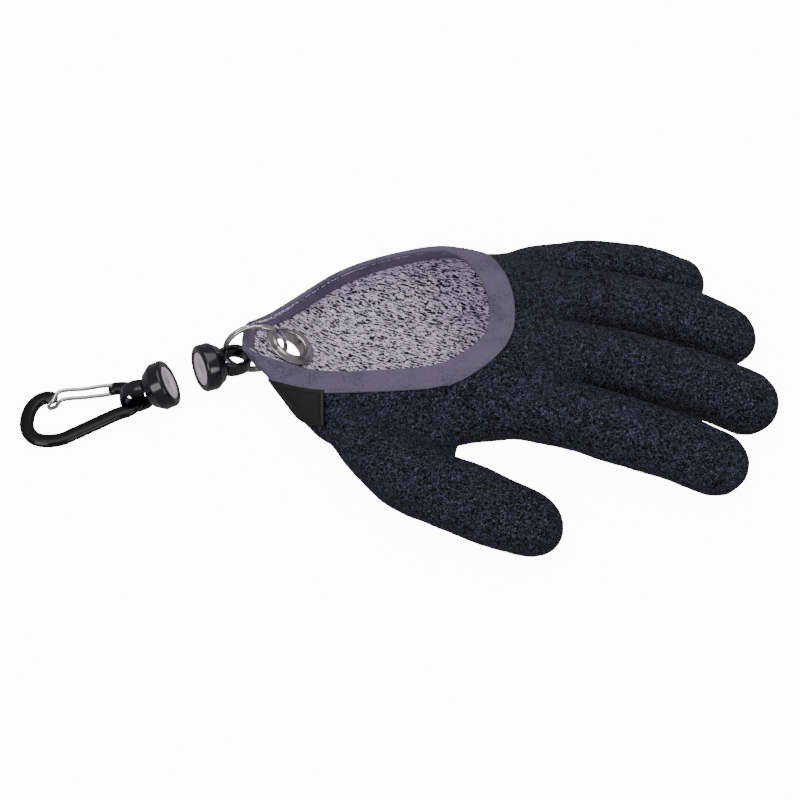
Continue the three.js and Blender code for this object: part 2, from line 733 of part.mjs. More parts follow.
// The eyelet stands in the tongue's wall, and the ring hangs in it
const eyeletU = uAtShare(eyeletPlace.along);
const eyeletNormal = normalAt(eyeletU, eyeletPlace.round);
const eyeletCentre = surface(eyeletU, eyeletPlace.round).addScaledVector(eyeletNormal, -wallTotal / 2);
const eyeletFrame = new THREE.Matrix4()
  .makeRotationFromQuaternion(new THREE.Quaternion().setFromUnitVectors(vector(0, 1, 0), eyeletNormal.negate()))
  .setPosition(eyeletCentre);
const eyeletCut = eyeletSolid(eyeletFrame, seatGap);
addPiece('palm_coat', largest(coat.subtract(eyeletCut)), latex);
addPiece('knit_liner', largest(liner.subtract(eyeletCut)), knit);
addPiece('edge_binding', largest(tapeBand().subtract(grownWall).subtract(eyeletCut)), tape);
const patch = labelSheet();
const labelSolid = sheetSolid(patch.points, patch.normals, patch.triangles, coverGap + labelWall, 0);
addPiece('side_label', largest(labelSolid.subtract(grownWall)), labelCloth);
addPiece('eyelet', eyeletSolid(eyeletFrame, 0), steel);

// The ring stands on the table, or higher where it needs to clear the tongue's tip
const ringRadius = (ringDiameter - ringWire) / 2;
const ringAlong = vector(Math.cos(ringYaw), Math.sin(ringYaw), 0);
const ringCentre = eyeletCentre.clone().addScaledVector(ringAlong, ringSlack - ringRadius);
ringCentre.setY(ringCentre.y + ringAcross);
const overTip = palmTable[0].crown * palmHeight + coverGap + tapeWall;
ringCentre.setZ(Math.max(ringDiameter / 2 + seatGap / 2, overTip - (ringDiameter / 2 - ringWire)));
const ringFrame = new THREE.Matrix4()
  .makeBasis(ringAlong, vector(0, 0, 1), ringAlong.clone().cross(vector(0, 0, 1)))
  .setPosition(ringCentre);
addPiece('split_ring', ringSolid(ringFrame), steel);

// The holder on the ring: its lug lies flat round the ring's far side
const gloveBack = vector(Math.cos(gloveTurn) * Math.cos(gloveDip), Math.sin(gloveTurn) * Math.cos(gloveDip), -Math.sin(gloveDip));
const ringLeft = ringCentre.clone().addScaledVector(ringAlong, -ringRadius);
const gloveLug = ringLeft.clone().add(vector(lugShift[0], lugShift[1], 0));
const gloveFace = gloveLug.clone().addScaledVector(gloveBack, -lugReach);
gloveFace.setZ(holderDiameter / 2 * Math.cos(gloveDip) + holderDepth * Math.sin(gloveDip) + seatGap / 2);
const gloveFrame = facing(gloveFace, gloveBack);
addPiece('glove_magnet_cup', holderSolid(false), plastic, gloveFrame);
addPiece('glove_magnet', magnetSolid(), nickel, gloveFrame);

// The holder on the carabiner: its lug stands on edge round the bar
const clipBack = vector(-Math.cos(clipTurn) * Math.cos(clipDip), -Math.sin(clipTurn) * Math.cos(clipDip), -Math.sin(clipDip));
const clipFace = gloveFace.clone().add(vector(facesApart[0], facesApart[1], 0));
const lugStraight = (lugLength - lugWidth) / 2;
clipFace.setZ((lugReach + lugStraight) * Math.sin(clipDip) + lugWidth / 2 + seatGap / 2);
const clipFrame = facing(clipFace, clipBack);
addPiece('clip_magnet_cup', holderSolid(true), plastic, clipFrame);
addPiece('clip_magnet', magnetSolid(), nickel, clipFrame);

// The carabiner lies on the table, its end raised by the lug that it passes through
const clipLug = clipFace.clone().addScaledVector(clipBack, lugReach);
const carabiner = new THREE.Matrix4().makeRotationFromEuler(new THREE.Euler(clipRoll, -clipPitch, 0));
const bar = barSolid();
const gate = gateSolid();
const lowest = Math.min(
  bar.transform(carabiner.elements).boundingBox().min[2],
  gate.transform(carabiner.elements).boundingBox().min[2],
);
const held = clipPoint(heldPlace).applyMatrix4(carabiner);
carabiner.setPosition(clipLug.x - held.x, clipLug.y - held.y, seatGap / 2 - lowest);
addPiece('carabiner_body', bar, anodised, carabiner);
addPiece('carabiner_gate', gate, steel, carabiner);

// The origin is at the middle of the underside of everything
const box = new THREE.Box3().setFromObject(model, true);
model.position.set(-(box.min.x + box.max.x) / 2, -(box.min.y + box.max.y) / 2, -box.min.z);
const group = new THREE.Group();
group.add(model);

export default group;
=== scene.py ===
# %% [markdown]
# # A fishing glove with a magnetic clip
# The glove lies palm down on a pale table, with its open back towards us. A ring in its wrist tongue
# carries a magnet holder, and the other holder lies beside it on a small carabiner. The imported CAD
# model is loaded first: it gives the size and place of everything, and the pieces made here stand
# in for its plain ones.

# %% Load the frame and list its parts
import math
import bpy
import numpy as np
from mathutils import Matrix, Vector


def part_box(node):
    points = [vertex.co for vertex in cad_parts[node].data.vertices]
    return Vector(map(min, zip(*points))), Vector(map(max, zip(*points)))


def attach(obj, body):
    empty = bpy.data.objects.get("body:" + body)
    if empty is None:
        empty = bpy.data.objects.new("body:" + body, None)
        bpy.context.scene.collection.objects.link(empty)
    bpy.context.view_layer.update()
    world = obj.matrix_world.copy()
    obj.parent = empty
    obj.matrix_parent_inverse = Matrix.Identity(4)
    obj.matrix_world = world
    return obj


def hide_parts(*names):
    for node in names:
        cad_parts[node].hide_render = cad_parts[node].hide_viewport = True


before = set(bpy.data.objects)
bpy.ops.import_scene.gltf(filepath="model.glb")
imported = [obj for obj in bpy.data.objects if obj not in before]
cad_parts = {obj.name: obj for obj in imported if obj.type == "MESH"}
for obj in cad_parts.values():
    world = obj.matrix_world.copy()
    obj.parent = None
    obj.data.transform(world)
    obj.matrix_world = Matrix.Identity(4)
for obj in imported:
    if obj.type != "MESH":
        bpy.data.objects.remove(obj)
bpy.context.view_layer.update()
print("CAD nodes:", ", ".join(sorted(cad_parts)))

# %% [markdown]
# All shapes are worked out in millimetres about a point in the palm, and then moved into the frame's
# own place. The palm coat's end towards the fingers is at a known distance from that point, so
# its box shows whether the two still agree.

# %% Units and the shift into the frame
MM = 0.001
SHIFT = np.array([0.513, 10.015, 0.138])
PALM_LENGTH, PALM_WIDTH, PALM_HEIGHT = 128.0, 104.0, 41.0
TIP_X = -0.516 * PALM_LENGTH


def to_frame(points):
    """Millimetres about the palm's point, as metres in the frame: add the shift, then divide by 1000."""
    return (np.asarray(points, float) + SHIFT) * MM


palm_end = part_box("palm_coat")[1].x / MM - SHIFT[0]
print(f"the palm ends {palm_end:.2f} mm ahead of the point, and {TIP_X + PALM_LENGTH:.2f} is expected")

# %% [markdown]
# A mesh is made from arrays in one go. Every piece then rides on a body of the frame, so that it
# moves with it, gets its material, and hides the CAD nodes that it stands for.

# %% Helpers that turn arrays into pieces
def mesh_piece(name, points, faces, crisp=None):
    """A smooth mesh object from points in millimetres and faces.

    Edges that bend by more than crisp degrees stay sharp."""
    mesh = bpy.data.meshes.new(name)
    mesh.from_pydata(to_frame(points).tolist(), [], faces if isinstance(faces, list) else faces.tolist())
    mesh.update()
    mesh.polygons.foreach_set("use_smooth", [True] * len(mesh.polygons))
    if crisp:
        mesh.set_sharp_from_angle(angle=math.radians(crisp))
    piece = bpy.data.objects.new(name, mesh)
    bpy.context.scene.collection.objects.link(piece)
    return piece


def place_piece(piece, material, nodes=(), body="glove"):
    """Gives a piece its material and its body, and hides the CAD nodes that it stands for."""
    piece.data.materials.clear()
    piece.data.materials.append(material)
    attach(piece, body)
    if nodes:
        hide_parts(*nodes)
    print(f"{piece.name}: {len(piece.data.vertices)} points, {len(piece.data.polygons)} faces")


def grid_faces(rows, columns, loop_rows=False, loop_columns=True, first=0):
    """Quads of a grid whose points run column by column within each row; either way may close on itself."""
    row = np.arange(rows if loop_rows else rows - 1)[:, None]
    column = np.arange(columns if loop_columns else columns - 1)[None, :]
    next_row, next_column = (row + 1) % rows, (column + 1) % columns
    quads = [row * columns + column, row * columns + next_column,
             next_row * columns + next_column, next_row * columns + column]
    return np.stack(np.broadcast_arrays(*quads), -1).reshape(-1, 4) + first


def join_parts(parts):
    """Several (points, faces) lists as one pair, with the faces' numbers moved on."""
    points, faces, count = [], [], 0
    for part_points, part_faces in parts:
        part_points = np.asarray(part_points, float).reshape(-1, 3)
        faces += [[int(i) + count for i in face] for face in part_faces]
        points.append(part_points)
        count += len(part_points)
    return np.concatenate(points), faces


def unit(vectors):
    """Each vector divided by its own length."""
    return vectors / np.maximum(np.linalg.norm(vectors, axis=-1, keepdims=True), 1e-12)


def distances(line):
    """How far each point of an open line lies from its start, measured along the line."""
    return np.concatenate([[0], np.cumsum(np.linalg.norm(np.diff(line, axis=0), axis=1))])


def drop_unused(points, faces):
    """Leaves out the points that no face uses, and says which stay.

    A quad that repeats a point becomes a triangle."""
    used = np.unique(faces)
    renumber = np.full(len(points), -1)
    renumber[used] = np.arange(len(used))
    return points[used], [list(dict.fromkeys(face)) for face in renumber[faces].tolist()], used


def capped_tube(rings):
    """Rings of points as one closed skin: quads between the rings, and a face on each end."""
    rows, sides = rings.shape[:2]
    faces = grid_faces(rows, sides).tolist()
    faces.append(list(range(sides))[::-1])
    faces.append([(rows - 1) * sides + i for i in range(sides)])
    return rings.reshape(-1, 3), faces


# %% [markdown]
# The hand is drawn as thirteen cross-sections of eight points each, and smooth curves run through
# them. A Catmull-Rom curve passes through its points, and in the centripetal kind the time spent
# between two points grows with the square root of their distance, so that it never overshoots.

# %% Curves through points
def between(p0, p1, p2, p3, share):
    """Centripetal Catmull-Rom: a cubic from p1 to p2 whose end slopes come from all four points."""
    step = [np.sqrt(np.linalg.norm(b - a, axis=-1, keepdims=True))
            for a, b in ((p0, p1), (p1, p2), (p2, p3))]
    step[1] = np.where(step[1] < 1e-4, 1.0, step[1])
    step[0] = np.where(step[0] < 1e-4, step[1], step[0])
    step[2] = np.where(step[2] < 1e-4, step[1], step[2])
    start = ((p1 - p0) / step[0] - (p2 - p0) / (step[0] + step[1]) + (p2 - p1) / step[1]) * step[1]
    end = ((p2 - p1) / step[1] - (p3 - p1) / (step[1] + step[2]) + (p3 - p2) / step[2]) * step[1]
    square, cube = share ** 2, share ** 3
    return (p1 + start * share + (-3 * p1 + 3 * p2 - 2 * start - end) * square
            + (2 * p1 - 2 * p2 + start + end) * cube)


def along_curve(points, places):
    """The curve through points, at places from 0 to 1; beyond its ends it runs on straight."""
    points = np.asarray(points, float)
    longer = np.concatenate([2 * points[:1] - points[1:2], points, 2 * points[-1:] - points[-2:-1]])
    spans = len(points) - 1
    scaled = np.clip(np.asarray(places, float), 0, 1) * spans
    first = np.minimum(scaled.astype(int), spans - 1)
    share = (scaled - first).reshape(first.shape + (1,) * (points.ndim - 1))
    return between(longer[first], longer[first + 1], longer[first + 2], longer[first + 3], share)


def even_curve(points, count):
    """The curve through points, sampled at even distances."""
    fine = along_curve(points, np.linspace(0, 1, 2000))
    length = distances(fine)
    wanted = np.linspace(0, length[-1], count)
    return np.stack([np.interp(wanted, length, fine[:, k]) for k in range(3)], 1)


# %% [markdown]
# Each row below is one cross-section, from the tongue's tip to the fingers. Its numbers are shares
# of the palm's sizes, read off the photograph's outline: the place along the hand, the near and
# far side, the floor and the side's height, where the rims run, how high they stand, the crown's
# height, and how far the foot is drawn in. Shares keep the shape when a size is changed.

# %% The hand's sections
SECTIONS = np.array([
    [0, 0.094, 0.198, 0.483, 0.51, 0.075, 0.218, 0.549, 0.546, 0.585, 0.27],
    [0.031, 0.065, 0.231, 0.42, 0.483, 0.058, 0.242, 0.551, 0.541, 0.598, 0.22],
    [0.078, 0.01, 0.287, 0.332, 0.444, 0.044, 0.279, 0.541, 0.527, 0.61, 0.16],
    [0.141, -0.088, 0.356, 0.22, 0.376, 0.015, 0.344, 0.541, 0.527, 0.646, 0.13],
    [0.219, -0.225, 0.427, 0.088, 0.317, -0.04, 0.412, 0.595, 0.576, 0.72, 0.13],
    [0.297, -0.327, 0.486, 0.024, 0.293, -0.081, 0.471, 0.668, 0.634, 0.793, 0.14],
    [0.391, -0.385, 0.535, 0, 0.307, -0.108, 0.509, 0.746, 0.707, 0.878, 0.15],
    [0.516, -0.389, 0.567, 0, 0.341, -0.121, 0.531, 0.81, 0.795, 0.939, 0.16],
    [0.641, -0.365, 0.587, 0, 0.39, -0.125, 0.529, 0.883, 0.868, 0.99, 0.16],
    [0.781, -0.337, 0.596, 0, 0.439, -0.096, 0.466, 0.937, 0.907, 1, 0.16],
    [0.891, -0.341, 0.62, 0.061, 0.488, -0.12, 0.457, 0.902, 0.863, 0.976, 0.16],
    [0.969, -0.346, 0.639, 0.171, 0.512, -0.139, 0.471, 0.839, 0.8, 0.912, 0.16],
    [1, -0.317, 0.606, 0.268, 0.512, -0.13, 0.452, 0.756, 0.732, 0.829, 0.16],
])
OPEN_ROW = 8                 # the opening's rounded end begins at this section
OPEN_END = 0.8               # and it reaches this share of the palm's length
NEAR_V, FAR_V = 3 / 8, 5 / 8
ROWS = len(SECTIONS)
OPEN_U = OPEN_ROW / (ROWS - 1)


def section_points(row):
    """Eight points round one section.

    They are the keel, near foot, near side, near rim, crown, far rim, far side and far foot."""
    along, near, far, floor, side, near_rim, far_rim, near_up, far_up, crown, foot = row
    inset = foot * (far - near)
    across = [(near + far) / 2, near + inset, near, near_rim,
              (near_rim + far_rim) / 2, far_rim, far, far - inset]
    up = [floor, floor, side, near_up, crown, far_up, side, floor]
    x = np.full(8, TIP_X + along * PALM_LENGTH)
    return np.stack([x, np.array(across) * PALM_WIDTH, np.array(up) * PALM_HEIGHT], 1)


CONTROL = np.stack([section_points(row) for row in SECTIONS])
print("the hand has", ROWS, "sections of", CONTROL.shape[1], "points")

# %% [markdown]
# The whole skin is one function of two parameters. It first runs a curve through the sections, and
# then a second curve round the section that this gives. A surface worked out in this way can be
# sampled as finely as a piece needs, and every other piece can find its place on it.

# %% The skin as a function
def surface(u, v):
    """The hand's skin: u runs from the tongue's tip to the fingers, v goes once round from the keel."""
    u, v = np.broadcast_arrays(np.asarray(u, float), np.asarray(v, float))
    sections = along_curve(CONTROL, u.ravel())
    scaled = (v.ravel() % 1.0) * 8
    first = scaled.astype(int) % 8
    item = np.arange(len(first))
    four = [sections[item, (first + k) % 8] for k in (-1, 0, 1, 2)]
    points = between(*four, (scaled - np.floor(scaled))[:, None])
    points[:, 2] = np.maximum(points[:, 2], 0)
    return points.reshape(u.shape + (3,))


def slopes(u, v, step=0.012):
    """How the skin's point moves with u and with v, from points a small step to either side."""
    u0, u1 = np.clip(u - step, 0, 1 - step), np.clip(u + step, step, 1)
    along = (surface(u1, v) - surface(u0, v)) / (u1 - u0)[..., None]
    around = (surface(u, v + step) - surface(u, v - step)) / (2 * step)
    return along, around


UNDER = 1 - (FAR_V - NEAR_V)
RIM_MARGIN = 0.03


def cloth_slopes(u, v):
    """The slopes. Beside the open rim they are taken a little way in, where the cloth lies."""
    from_far = (v - FAR_V) % 1.0
    from_far = np.where(from_far > (1 + UNDER) / 2, 0, from_far)
    inside = FAR_V + np.clip(from_far, RIM_MARGIN, UNDER - RIM_MARGIN)
    return slopes(u, np.where(u < OPEN_U, inside, v))


def skin_normal(u, v):
    """The outward direction: the cross product of the two slopes, made one long."""
    u, v = np.broadcast_arrays(np.asarray(u, float), np.asarray(v, float))
    return unit(np.cross(*cloth_slopes(u, v)))


print("the palm's keel points to", np.round(skin_normal(np.array([0.7]), np.array([0.0]))[0], 2))

# %% [markdown]
# The opening is a teardrop: straight sides from the tongue, and a rounded end over the back of the
# hand. The tongue's tip is rounded as well. Both are given as the first u that has cloth, for
# each v round the hand.

# %% Where the cloth begins
END_CURVE = np.array([[0, 0], [.08, .62], [.2, .93], [.38, 1], [.56, .96], [.72, .8], [.87, .5], [1, 0]])
TIP_ROUND = 0.075
TIP_POWER = 2.6              # 2 would be an ellipse, and more is squarer


def u_at_share(share):
    """The u at which the crown's line reaches that share of the palm's length."""
    places = np.linspace(0, 1, 4001)
    return float(np.interp(TIP_X + share * PALM_LENGTH, along_curve(CONTROL[:, 4], places)[:, 0], places))


END_SHAPE = along_curve(np.column_stack([END_CURVE, np.zeros(len(END_CURVE))]), np.linspace(0, 1, 400))
OPEN_REACH = u_at_share(OPEN_END) - OPEN_U


def back_start(v):
    """Over the back: the rounded end of the opening."""
    return OPEN_U + OPEN_REACH * np.interp((v - NEAR_V) / (FAR_V - NEAR_V), END_SHAPE[:, 0], END_SHAPE[:, 1])


def tip_start(v):
    """Under the hand: 0 in the middle, and a superellipse's corner towards either rim."""
    aside = np.abs(2 * (((v - FAR_V) % 1.0) / UNDER) - 1)
    return TIP_ROUND * (1 - (1 - np.clip(aside, 0, 1) ** TIP_POWER) ** (1 / TIP_POWER))


print("the opening's end reaches u =", round(OPEN_U + OPEN_REACH, 3))

# %% [markdown]
# The coat is one skin of dipped latex, so its palm and fingers must flow into each other. A sheet
# with walls is built for the palm, a closed oval tube for each finger, and a Remesh modifier then
# melts the overlapping solids into one. Smoothing rounds the crotches between the fingers.

# %% A sheet with thickness
def open_edges(faces):
    """The edges that only one face uses, in that face's direction."""
    quads = np.asarray(faces)
    edges = np.concatenate([np.stack([quads[:, k], quads[:, (k + 1) % quads.shape[1]]], 1)
                            for k in range(quads.shape[1])])
    edges = edges[edges[:, 0] != edges[:, 1]]
    key = edges[:, 0] * (edges.max() + 1) + edges[:, 1]
    back = edges[:, 1] * (edges.max() + 1) + edges[:, 0]
    return edges[~np.isin(key, back)]


def thick_sheet(points, normals, faces, outer, inner):
    """Both skins of a sheet, moved along its normals, and a wall along its open edges."""
    count = len(points)
    edge = open_edges(faces)
    walls = np.stack([edge[:, 1], edge[:, 0], edge[:, 0] + count, edge[:, 1] + count], 1)
    both = np.concatenate([points + normals * outer, points + normals * inner])
    return both, np.concatenate([faces, faces[:, ::-1] + count, walls])


one_quad = np.array([[0.0, 0, 0], [1, 0, 0], [1, 1, 0], [0, 1, 0]]), np.tile([0.0, 0, 1], (4, 1))
print("one quad with its walls has", len(thick_sheet(*one_quad, np.array([[0, 1, 2, 3]]), 0, -1)[1]), "faces")

# %% [markdown]
# The palm is a sheet with a hole in its back. A plain grid would meet the hole in steps, so each
# column of the grid starts on the rim itself: under the hand at the tongue's rounded tip, and over
# the back at the opening's rounded end. The end towards the fingers is closed with a shallow dome,
# because a closed bag is easier to thicken and to melt than an open one.

# %% The palm's sheet and its dome
TIP_SPAN = 70                # millimetres for a whole step of u beside the tongue's tip
CAP_SHARES = (0.06, 0.16, 0.32, 0.6, 0.9)
CAP_BULGE = 1.6


def hand_sheet(rows_under, columns_under, columns_over, back_off):
    """The open hand as points, normals and quads, with each point's u and each column's v.

    Each column is a line of constant v. Its u runs from the rim, back_off millimetres inside it, to 1."""
    turn = np.linspace(0, 1, columns_under)
    turn_over = np.linspace(0, 1, columns_over)[1:-1]
    around = np.linalg.norm(slopes(np.array([0.35]), np.array([NEAR_V - 0.03]))[1])
    trim = back_off / around
    v = np.concatenate([FAR_V + trim + turn * (UNDER - 2 * trim),
                        NEAR_V + 1 - trim + turn_over * (1 - UNDER + 2 * trim)])
    over = np.arange(len(v)) >= columns_under
    start = np.where(over, back_start(v % 1.0) + back_off / PALM_LENGTH, 0)
    start[~over] = tip_start(v[~over]) + back_off / TIP_SPAN
    first_over = int(round(OPEN_U * (rows_under - 1)))
    rows = np.linspace(0, 1, rows_under)
    share = np.where(over[:, None], np.clip((rows - rows[first_over]) / (1 - rows[first_over]), 0, 1), rows)
    u = start[:, None] + share * (1 - start[:, None])
    ease = np.clip(rows / 0.35, 0, 1)
    u[~over] = rows + start[~over, None] * (1 - ease) ** 2
    points = surface(u, np.broadcast_to(v[:, None], u.shape))
    normals = skin_normal(u, np.broadcast_to(v[:, None], u.shape))
    quads = grid_faces(len(v), rows_under, loop_rows=True, loop_columns=False)
    quads = quads.reshape(len(v), rows_under - 1, 4)
    next_over = over | np.roll(over, -1)
    keep = ~(next_over[:, None] & (np.arange(rows_under - 1) < first_over)[None, :])
    return points, normals, quads[keep], u, v


def front_cap(points, normals, quads, rows):
    """Closes the end towards the fingers with shrinking rings, as a dome, and a fan of triangles."""
    columns = len(points)
    ring, ring_normal = points[:, -1], normals[:, -1]
    centre = ring.mean(0)
    rings, ring_normals, faces = [], [], []
    first = points.shape[0] * points.shape[1]
    last = np.arange(columns) * rows + rows - 1
    for k, share in enumerate(CAP_SHARES):
        bulge = CAP_BULGE * math.sin(min(1, share * 3) * math.pi / 2)
        rings.append(ring + (centre - ring) * share + np.array([bulge, 0, 0]))
        ring_normals.append(unit(ring_normal * (1 - min(1, share * 4)) + np.array([1.0, 0, 0])))
        here = first + k * columns + np.arange(columns)
        faces.append(np.stack([last, np.roll(last, -1), np.roll(here, -1), here], 1)[:, ::-1])
        last = here
    middle = first + len(rings) * columns
    all_points = np.concatenate([points.reshape(-1, 3)] + rings + [centre[None] + [CAP_BULGE, 0, 0]])
    all_normals = np.concatenate([normals.reshape(-1, 3)] + ring_normals + [np.array([[1.0, 0, 0]])])
    fan = np.stack([last, np.roll(last, -1), *[np.full(columns, middle)] * 2], 1)[:, ::-1]
    return all_points, all_normals, np.concatenate([quads] + faces + [fan[:, [1, 2, 3, 3]]])


def bag(back_off, outer, inner):
    """The whole palm as a closed bag with a wall, and what it was made from."""
    points, normals, quads, _, v = hand_sheet(ROWS_FINE, COLUMNS_UNDER, COLUMNS_OVER, back_off)
    shell_points, shell_faces = thick_sheet(*front_cap(points, normals, quads, ROWS_FINE), outer, inner)
    shell_points, shell_faces, used = drop_unused(shell_points, shell_faces)
    return shell_points, shell_faces, used, points, v


ROWS_FINE, COLUMNS_UNDER, COLUMNS_OVER = 121, 150, 60
print("a palm sheet has", ROWS_FINE, "points along and", COLUMNS_UNDER + COLUMNS_OVER - 2, "round")

# %% [markdown]
# A finger is a tube of ovals carried along its bent middle line. The line's stations say how far it
# has swung aside and sunk at a third, two thirds and so on of its length, as read off the picture.
# A lofted tube follows such a line better than a joined row of capsules. A short stub beside the
# thumb's root stands in for the web of skin between thumb and first finger.
#
# Length, width and height are millimetres, and the heading is degrees. The root is a place in shares
# of the palm's sizes. Depth is how far the tube starts inside the palm, inset how far aside it does,
# and pinch how wide it is there; side and lift belong to the stations. All but pinch are shares of
# the finger's length.

# %% The fingers
STATIONS = [0, 0.33, 0.67, 0.87, 1]
FINGERS = {
    "thumb": dict(length=64.5, width=31, height=27, heading=-26, depth=.6, inset=.2, pinch=.6,
                  root=(.555, -.545, .43), side=(0, .003, .02, .045, .06),
                  lift=(0, -.02, -.055, -.095, -.097)),
    "index": dict(length=76, width=29.6, height=25, heading=0, depth=.22, inset=0, pinch=.8,
                  root=(1, -.253, .53), side=(0, -.082, -.178, -.25, -.313),
                  lift=(0, -.036, -.098, -.141, -.143)),
    "middle": dict(length=92, width=29.6, height=25.6, heading=0, depth=.2, inset=0, pinch=.8,
                   root=(1, .04, .6), side=(0, -.046, -.122, -.18, -.233),
                   lift=(0, -.029, -.09, -.143, -.151)),
    "ring": dict(length=87, width=28, height=25, heading=0, depth=.2, inset=0, pinch=.8,
                 root=(1, .32, .6), side=(0, .008, -.036, -.09, -.138),
                 lift=(0, -.023, -.09, -.154, -.161)),
    "little": dict(length=69, width=23, height=22, heading=0, depth=.2, inset=0, pinch=.8,
                   root=(1, .539, .52), side=(0, .038, .058, .04, .007),
                   lift=(0, -.02, -.1, -.175, -.18)),
}
THUMB_WEB = dict(length=24, width=13, height=17, heading=-4, depth=.1, inset=0, pinch=1,
                 root=(.516, -.39, .36), side=(0, 0, 0, 0, 0), lift=(0, 0, 0, 0, 0))
SIDES, BODY_RINGS, TIP_RINGS, LINE_POINTS = 56, 68, 22, 801
NARROWER, FLATTER = 0.06, 0.1    # how much a finger loses of its width and height towards its tip
SQUARER = 0.9                    # the power of the oval: 1 is an ellipse


def finger_tube(length, width, height, heading, depth, inset, pinch, root, side, lift):
    """Ovals carried along the finger's line. In the tip they shrink as the root of 1 - t squared."""
    turn = math.radians(heading)
    root = np.array([TIP_X + root[0] * PALM_LENGTH, root[1] * PALM_WIDTH, root[2] * PALM_HEIGHT])
    stations = np.array([-depth] + STATIONS)
    aside = np.array([inset, *side])
    line = root + length * np.stack([
        stations * math.cos(turn) - aside * math.sin(turn),
        stations * math.sin(turn) + aside * math.cos(turn), np.array([0, *lift])], 1)
    fine = even_curve(line, LINE_POINTS)
    tangent = unit(np.gradient(fine, axis=0))
    total = np.linalg.norm(np.diff(fine, axis=0), axis=1).sum()
    body_end = 1 - 0.5 * width / total
    body = np.linspace(0, body_end, BODY_RINGS, endpoint=False)
    tip = body_end + (1 - body_end) * np.sin(np.linspace(0, np.pi / 2, TIP_RINGS + 1))[:-1]
    t = np.concatenate([body, tip])
    known = np.linspace(0, 1, LINE_POINTS)
    centre = np.stack([np.interp(t, known, fine[:, k]) for k in range(3)], 1)
    ahead = unit(np.stack([np.interp(t, known, tangent[:, k]) for k in range(3)], 1))
    sideways = unit(np.stack([-ahead[:, 1], ahead[:, 0], np.zeros(len(t))], 1))
    up = unit(np.cross(ahead, sideways))
    past = np.clip((t - body_end) / (1 - body_end), 0, 1)
    rounding = np.sqrt(np.maximum(0, 1 - past ** 2))
    root_share = depth / (depth + 1)
    in_root = pinch + (1 - pinch) * np.sin(np.clip(t / root_share, 0, 1) * np.pi / 2)
    swell = np.where(t < root_share, in_root, 1)
    half_width = 0.5 * width * (1 - NARROWER * t) * swell * rounding
    half_height = 0.5 * height * (1 - FLATTER * t) * swell * rounding
    angle = np.linspace(0, 2 * np.pi, SIDES, endpoint=False)
    c, s = np.cos(angle), np.sin(angle)
    c, s = np.sign(c) * np.abs(c) ** SQUARER, np.sign(s) * np.abs(s) ** SQUARER
    return capped_tube(centre[:, None] + sideways[:, None] * (half_width[:, None] * c)[..., None]
                       + up[:, None] * (half_height[:, None] * s)[..., None])


fingers = [finger_tube(**sizes) for sizes in [*FINGERS.values(), THUMB_WEB]]
print("fingers, thumb and web have", sum(len(points) for points, _ in fingers), "points")

# %% [markdown]
# Worn cloth is never quite smooth. Blender's displacement could press dents into it, but here a
# small noise of our own is easier to keep away from the tape. It is set beside the other helpers
# that read a mesh's points, write them back and bake its modifiers.

# %% A soft noise, and helpers for finished meshes
def soft_noise(points, size, seed):
    """Value noise, from -1 to 1: random heights on a lattice of that cell size, blended smoothly."""
    random = np.random.default_rng(seed)
    table = random.uniform(-1, 1, 4096)
    cell = np.asarray(points) / size
    whole = np.floor(cell).astype(np.int64)
    part = cell - whole
    part = part * part * (3 - 2 * part)
    total = 0
    for corner in np.ndindex(2, 2, 2):
        at = whole + corner
        key = (at[:, 0] * 73856093) ^ (at[:, 1] * 19349663) ^ (at[:, 2] * 83492791)
        weight = np.prod(np.where(corner, part, 1 - part), axis=1)
        total = total + weight * table[key % 4096]
    return total


def vertex_arrays(piece):
    """A mesh's points and normals as arrays, in metres."""
    count = len(piece.data.vertices)
    points, normals = np.empty(count * 3), np.empty(count * 3)
    piece.data.vertices.foreach_get("co", points)
    piece.data.vertices.foreach_get("normal", normals)
    return points.reshape(-1, 3), normals.reshape(-1, 3)


def move_points(piece, points):
    """Writes moved points, in metres, back into a mesh."""
    piece.data.vertices.foreach_set("co", points.ravel())
    piece.data.update()


def apply_modifiers(piece):
    """Bakes a piece's modifiers into its mesh."""
    bpy.context.view_layer.update()
    evaluated = piece.evaluated_get(bpy.context.evaluated_depsgraph_get())
    mesh = bpy.data.meshes.new_from_object(evaluated)
    piece.modifiers.clear()
    piece.data = mesh


def cut_away(piece, tool):
    """Takes a closed tool's space out of a piece, with an exact Boolean."""
    cut = piece.modifiers.new("cut", "BOOLEAN")
    cut.object = tool
    cut.solver = "EXACT"
    apply_modifiers(piece)


print("noise at three places:", np.round(soft_noise(np.eye(3) * 5, 2.6, 5), 2))

# %% [markdown]
# The dipped coat has no seam between palm and fingers. Joining the tubes by hand would leave
# creases, so palm and fingers are put into one mesh where they overlap, and voxels of about a
# millimetre turn it into one skin. The tape's own thickness later hides the cut edge.

# %% The coat: palm and fingers melted into one
COAT_WALL, COAT_BACK_OFF = 2.0, 2.6
palm_points, palm_faces, *_ = bag(COAT_BACK_OFF, 0, -COAT_WALL)
coat = mesh_piece("glove_coat", *join_parts([(palm_points, palm_faces)] + fingers))
melt = coat.modifiers.new("melt", "REMESH")
melt.mode = "VOXEL"
melt.voxel_size = 1.05 * MM
ease = coat.modifiers.new("ease", "SMOOTH")
ease.factor = 0.5
ease.iterations = 9
apply_modifiers(coat)
print("melted into", len(coat.data.vertices), "points")

# %% [markdown]
# Voxels leave tight creases where a finger meets the palm, and real dipped cloth bridges them. Each
# point near a root is drawn towards its neighbours many times over, which rounds the creases as a
# drying skin would. Points far from a root stay where they are.

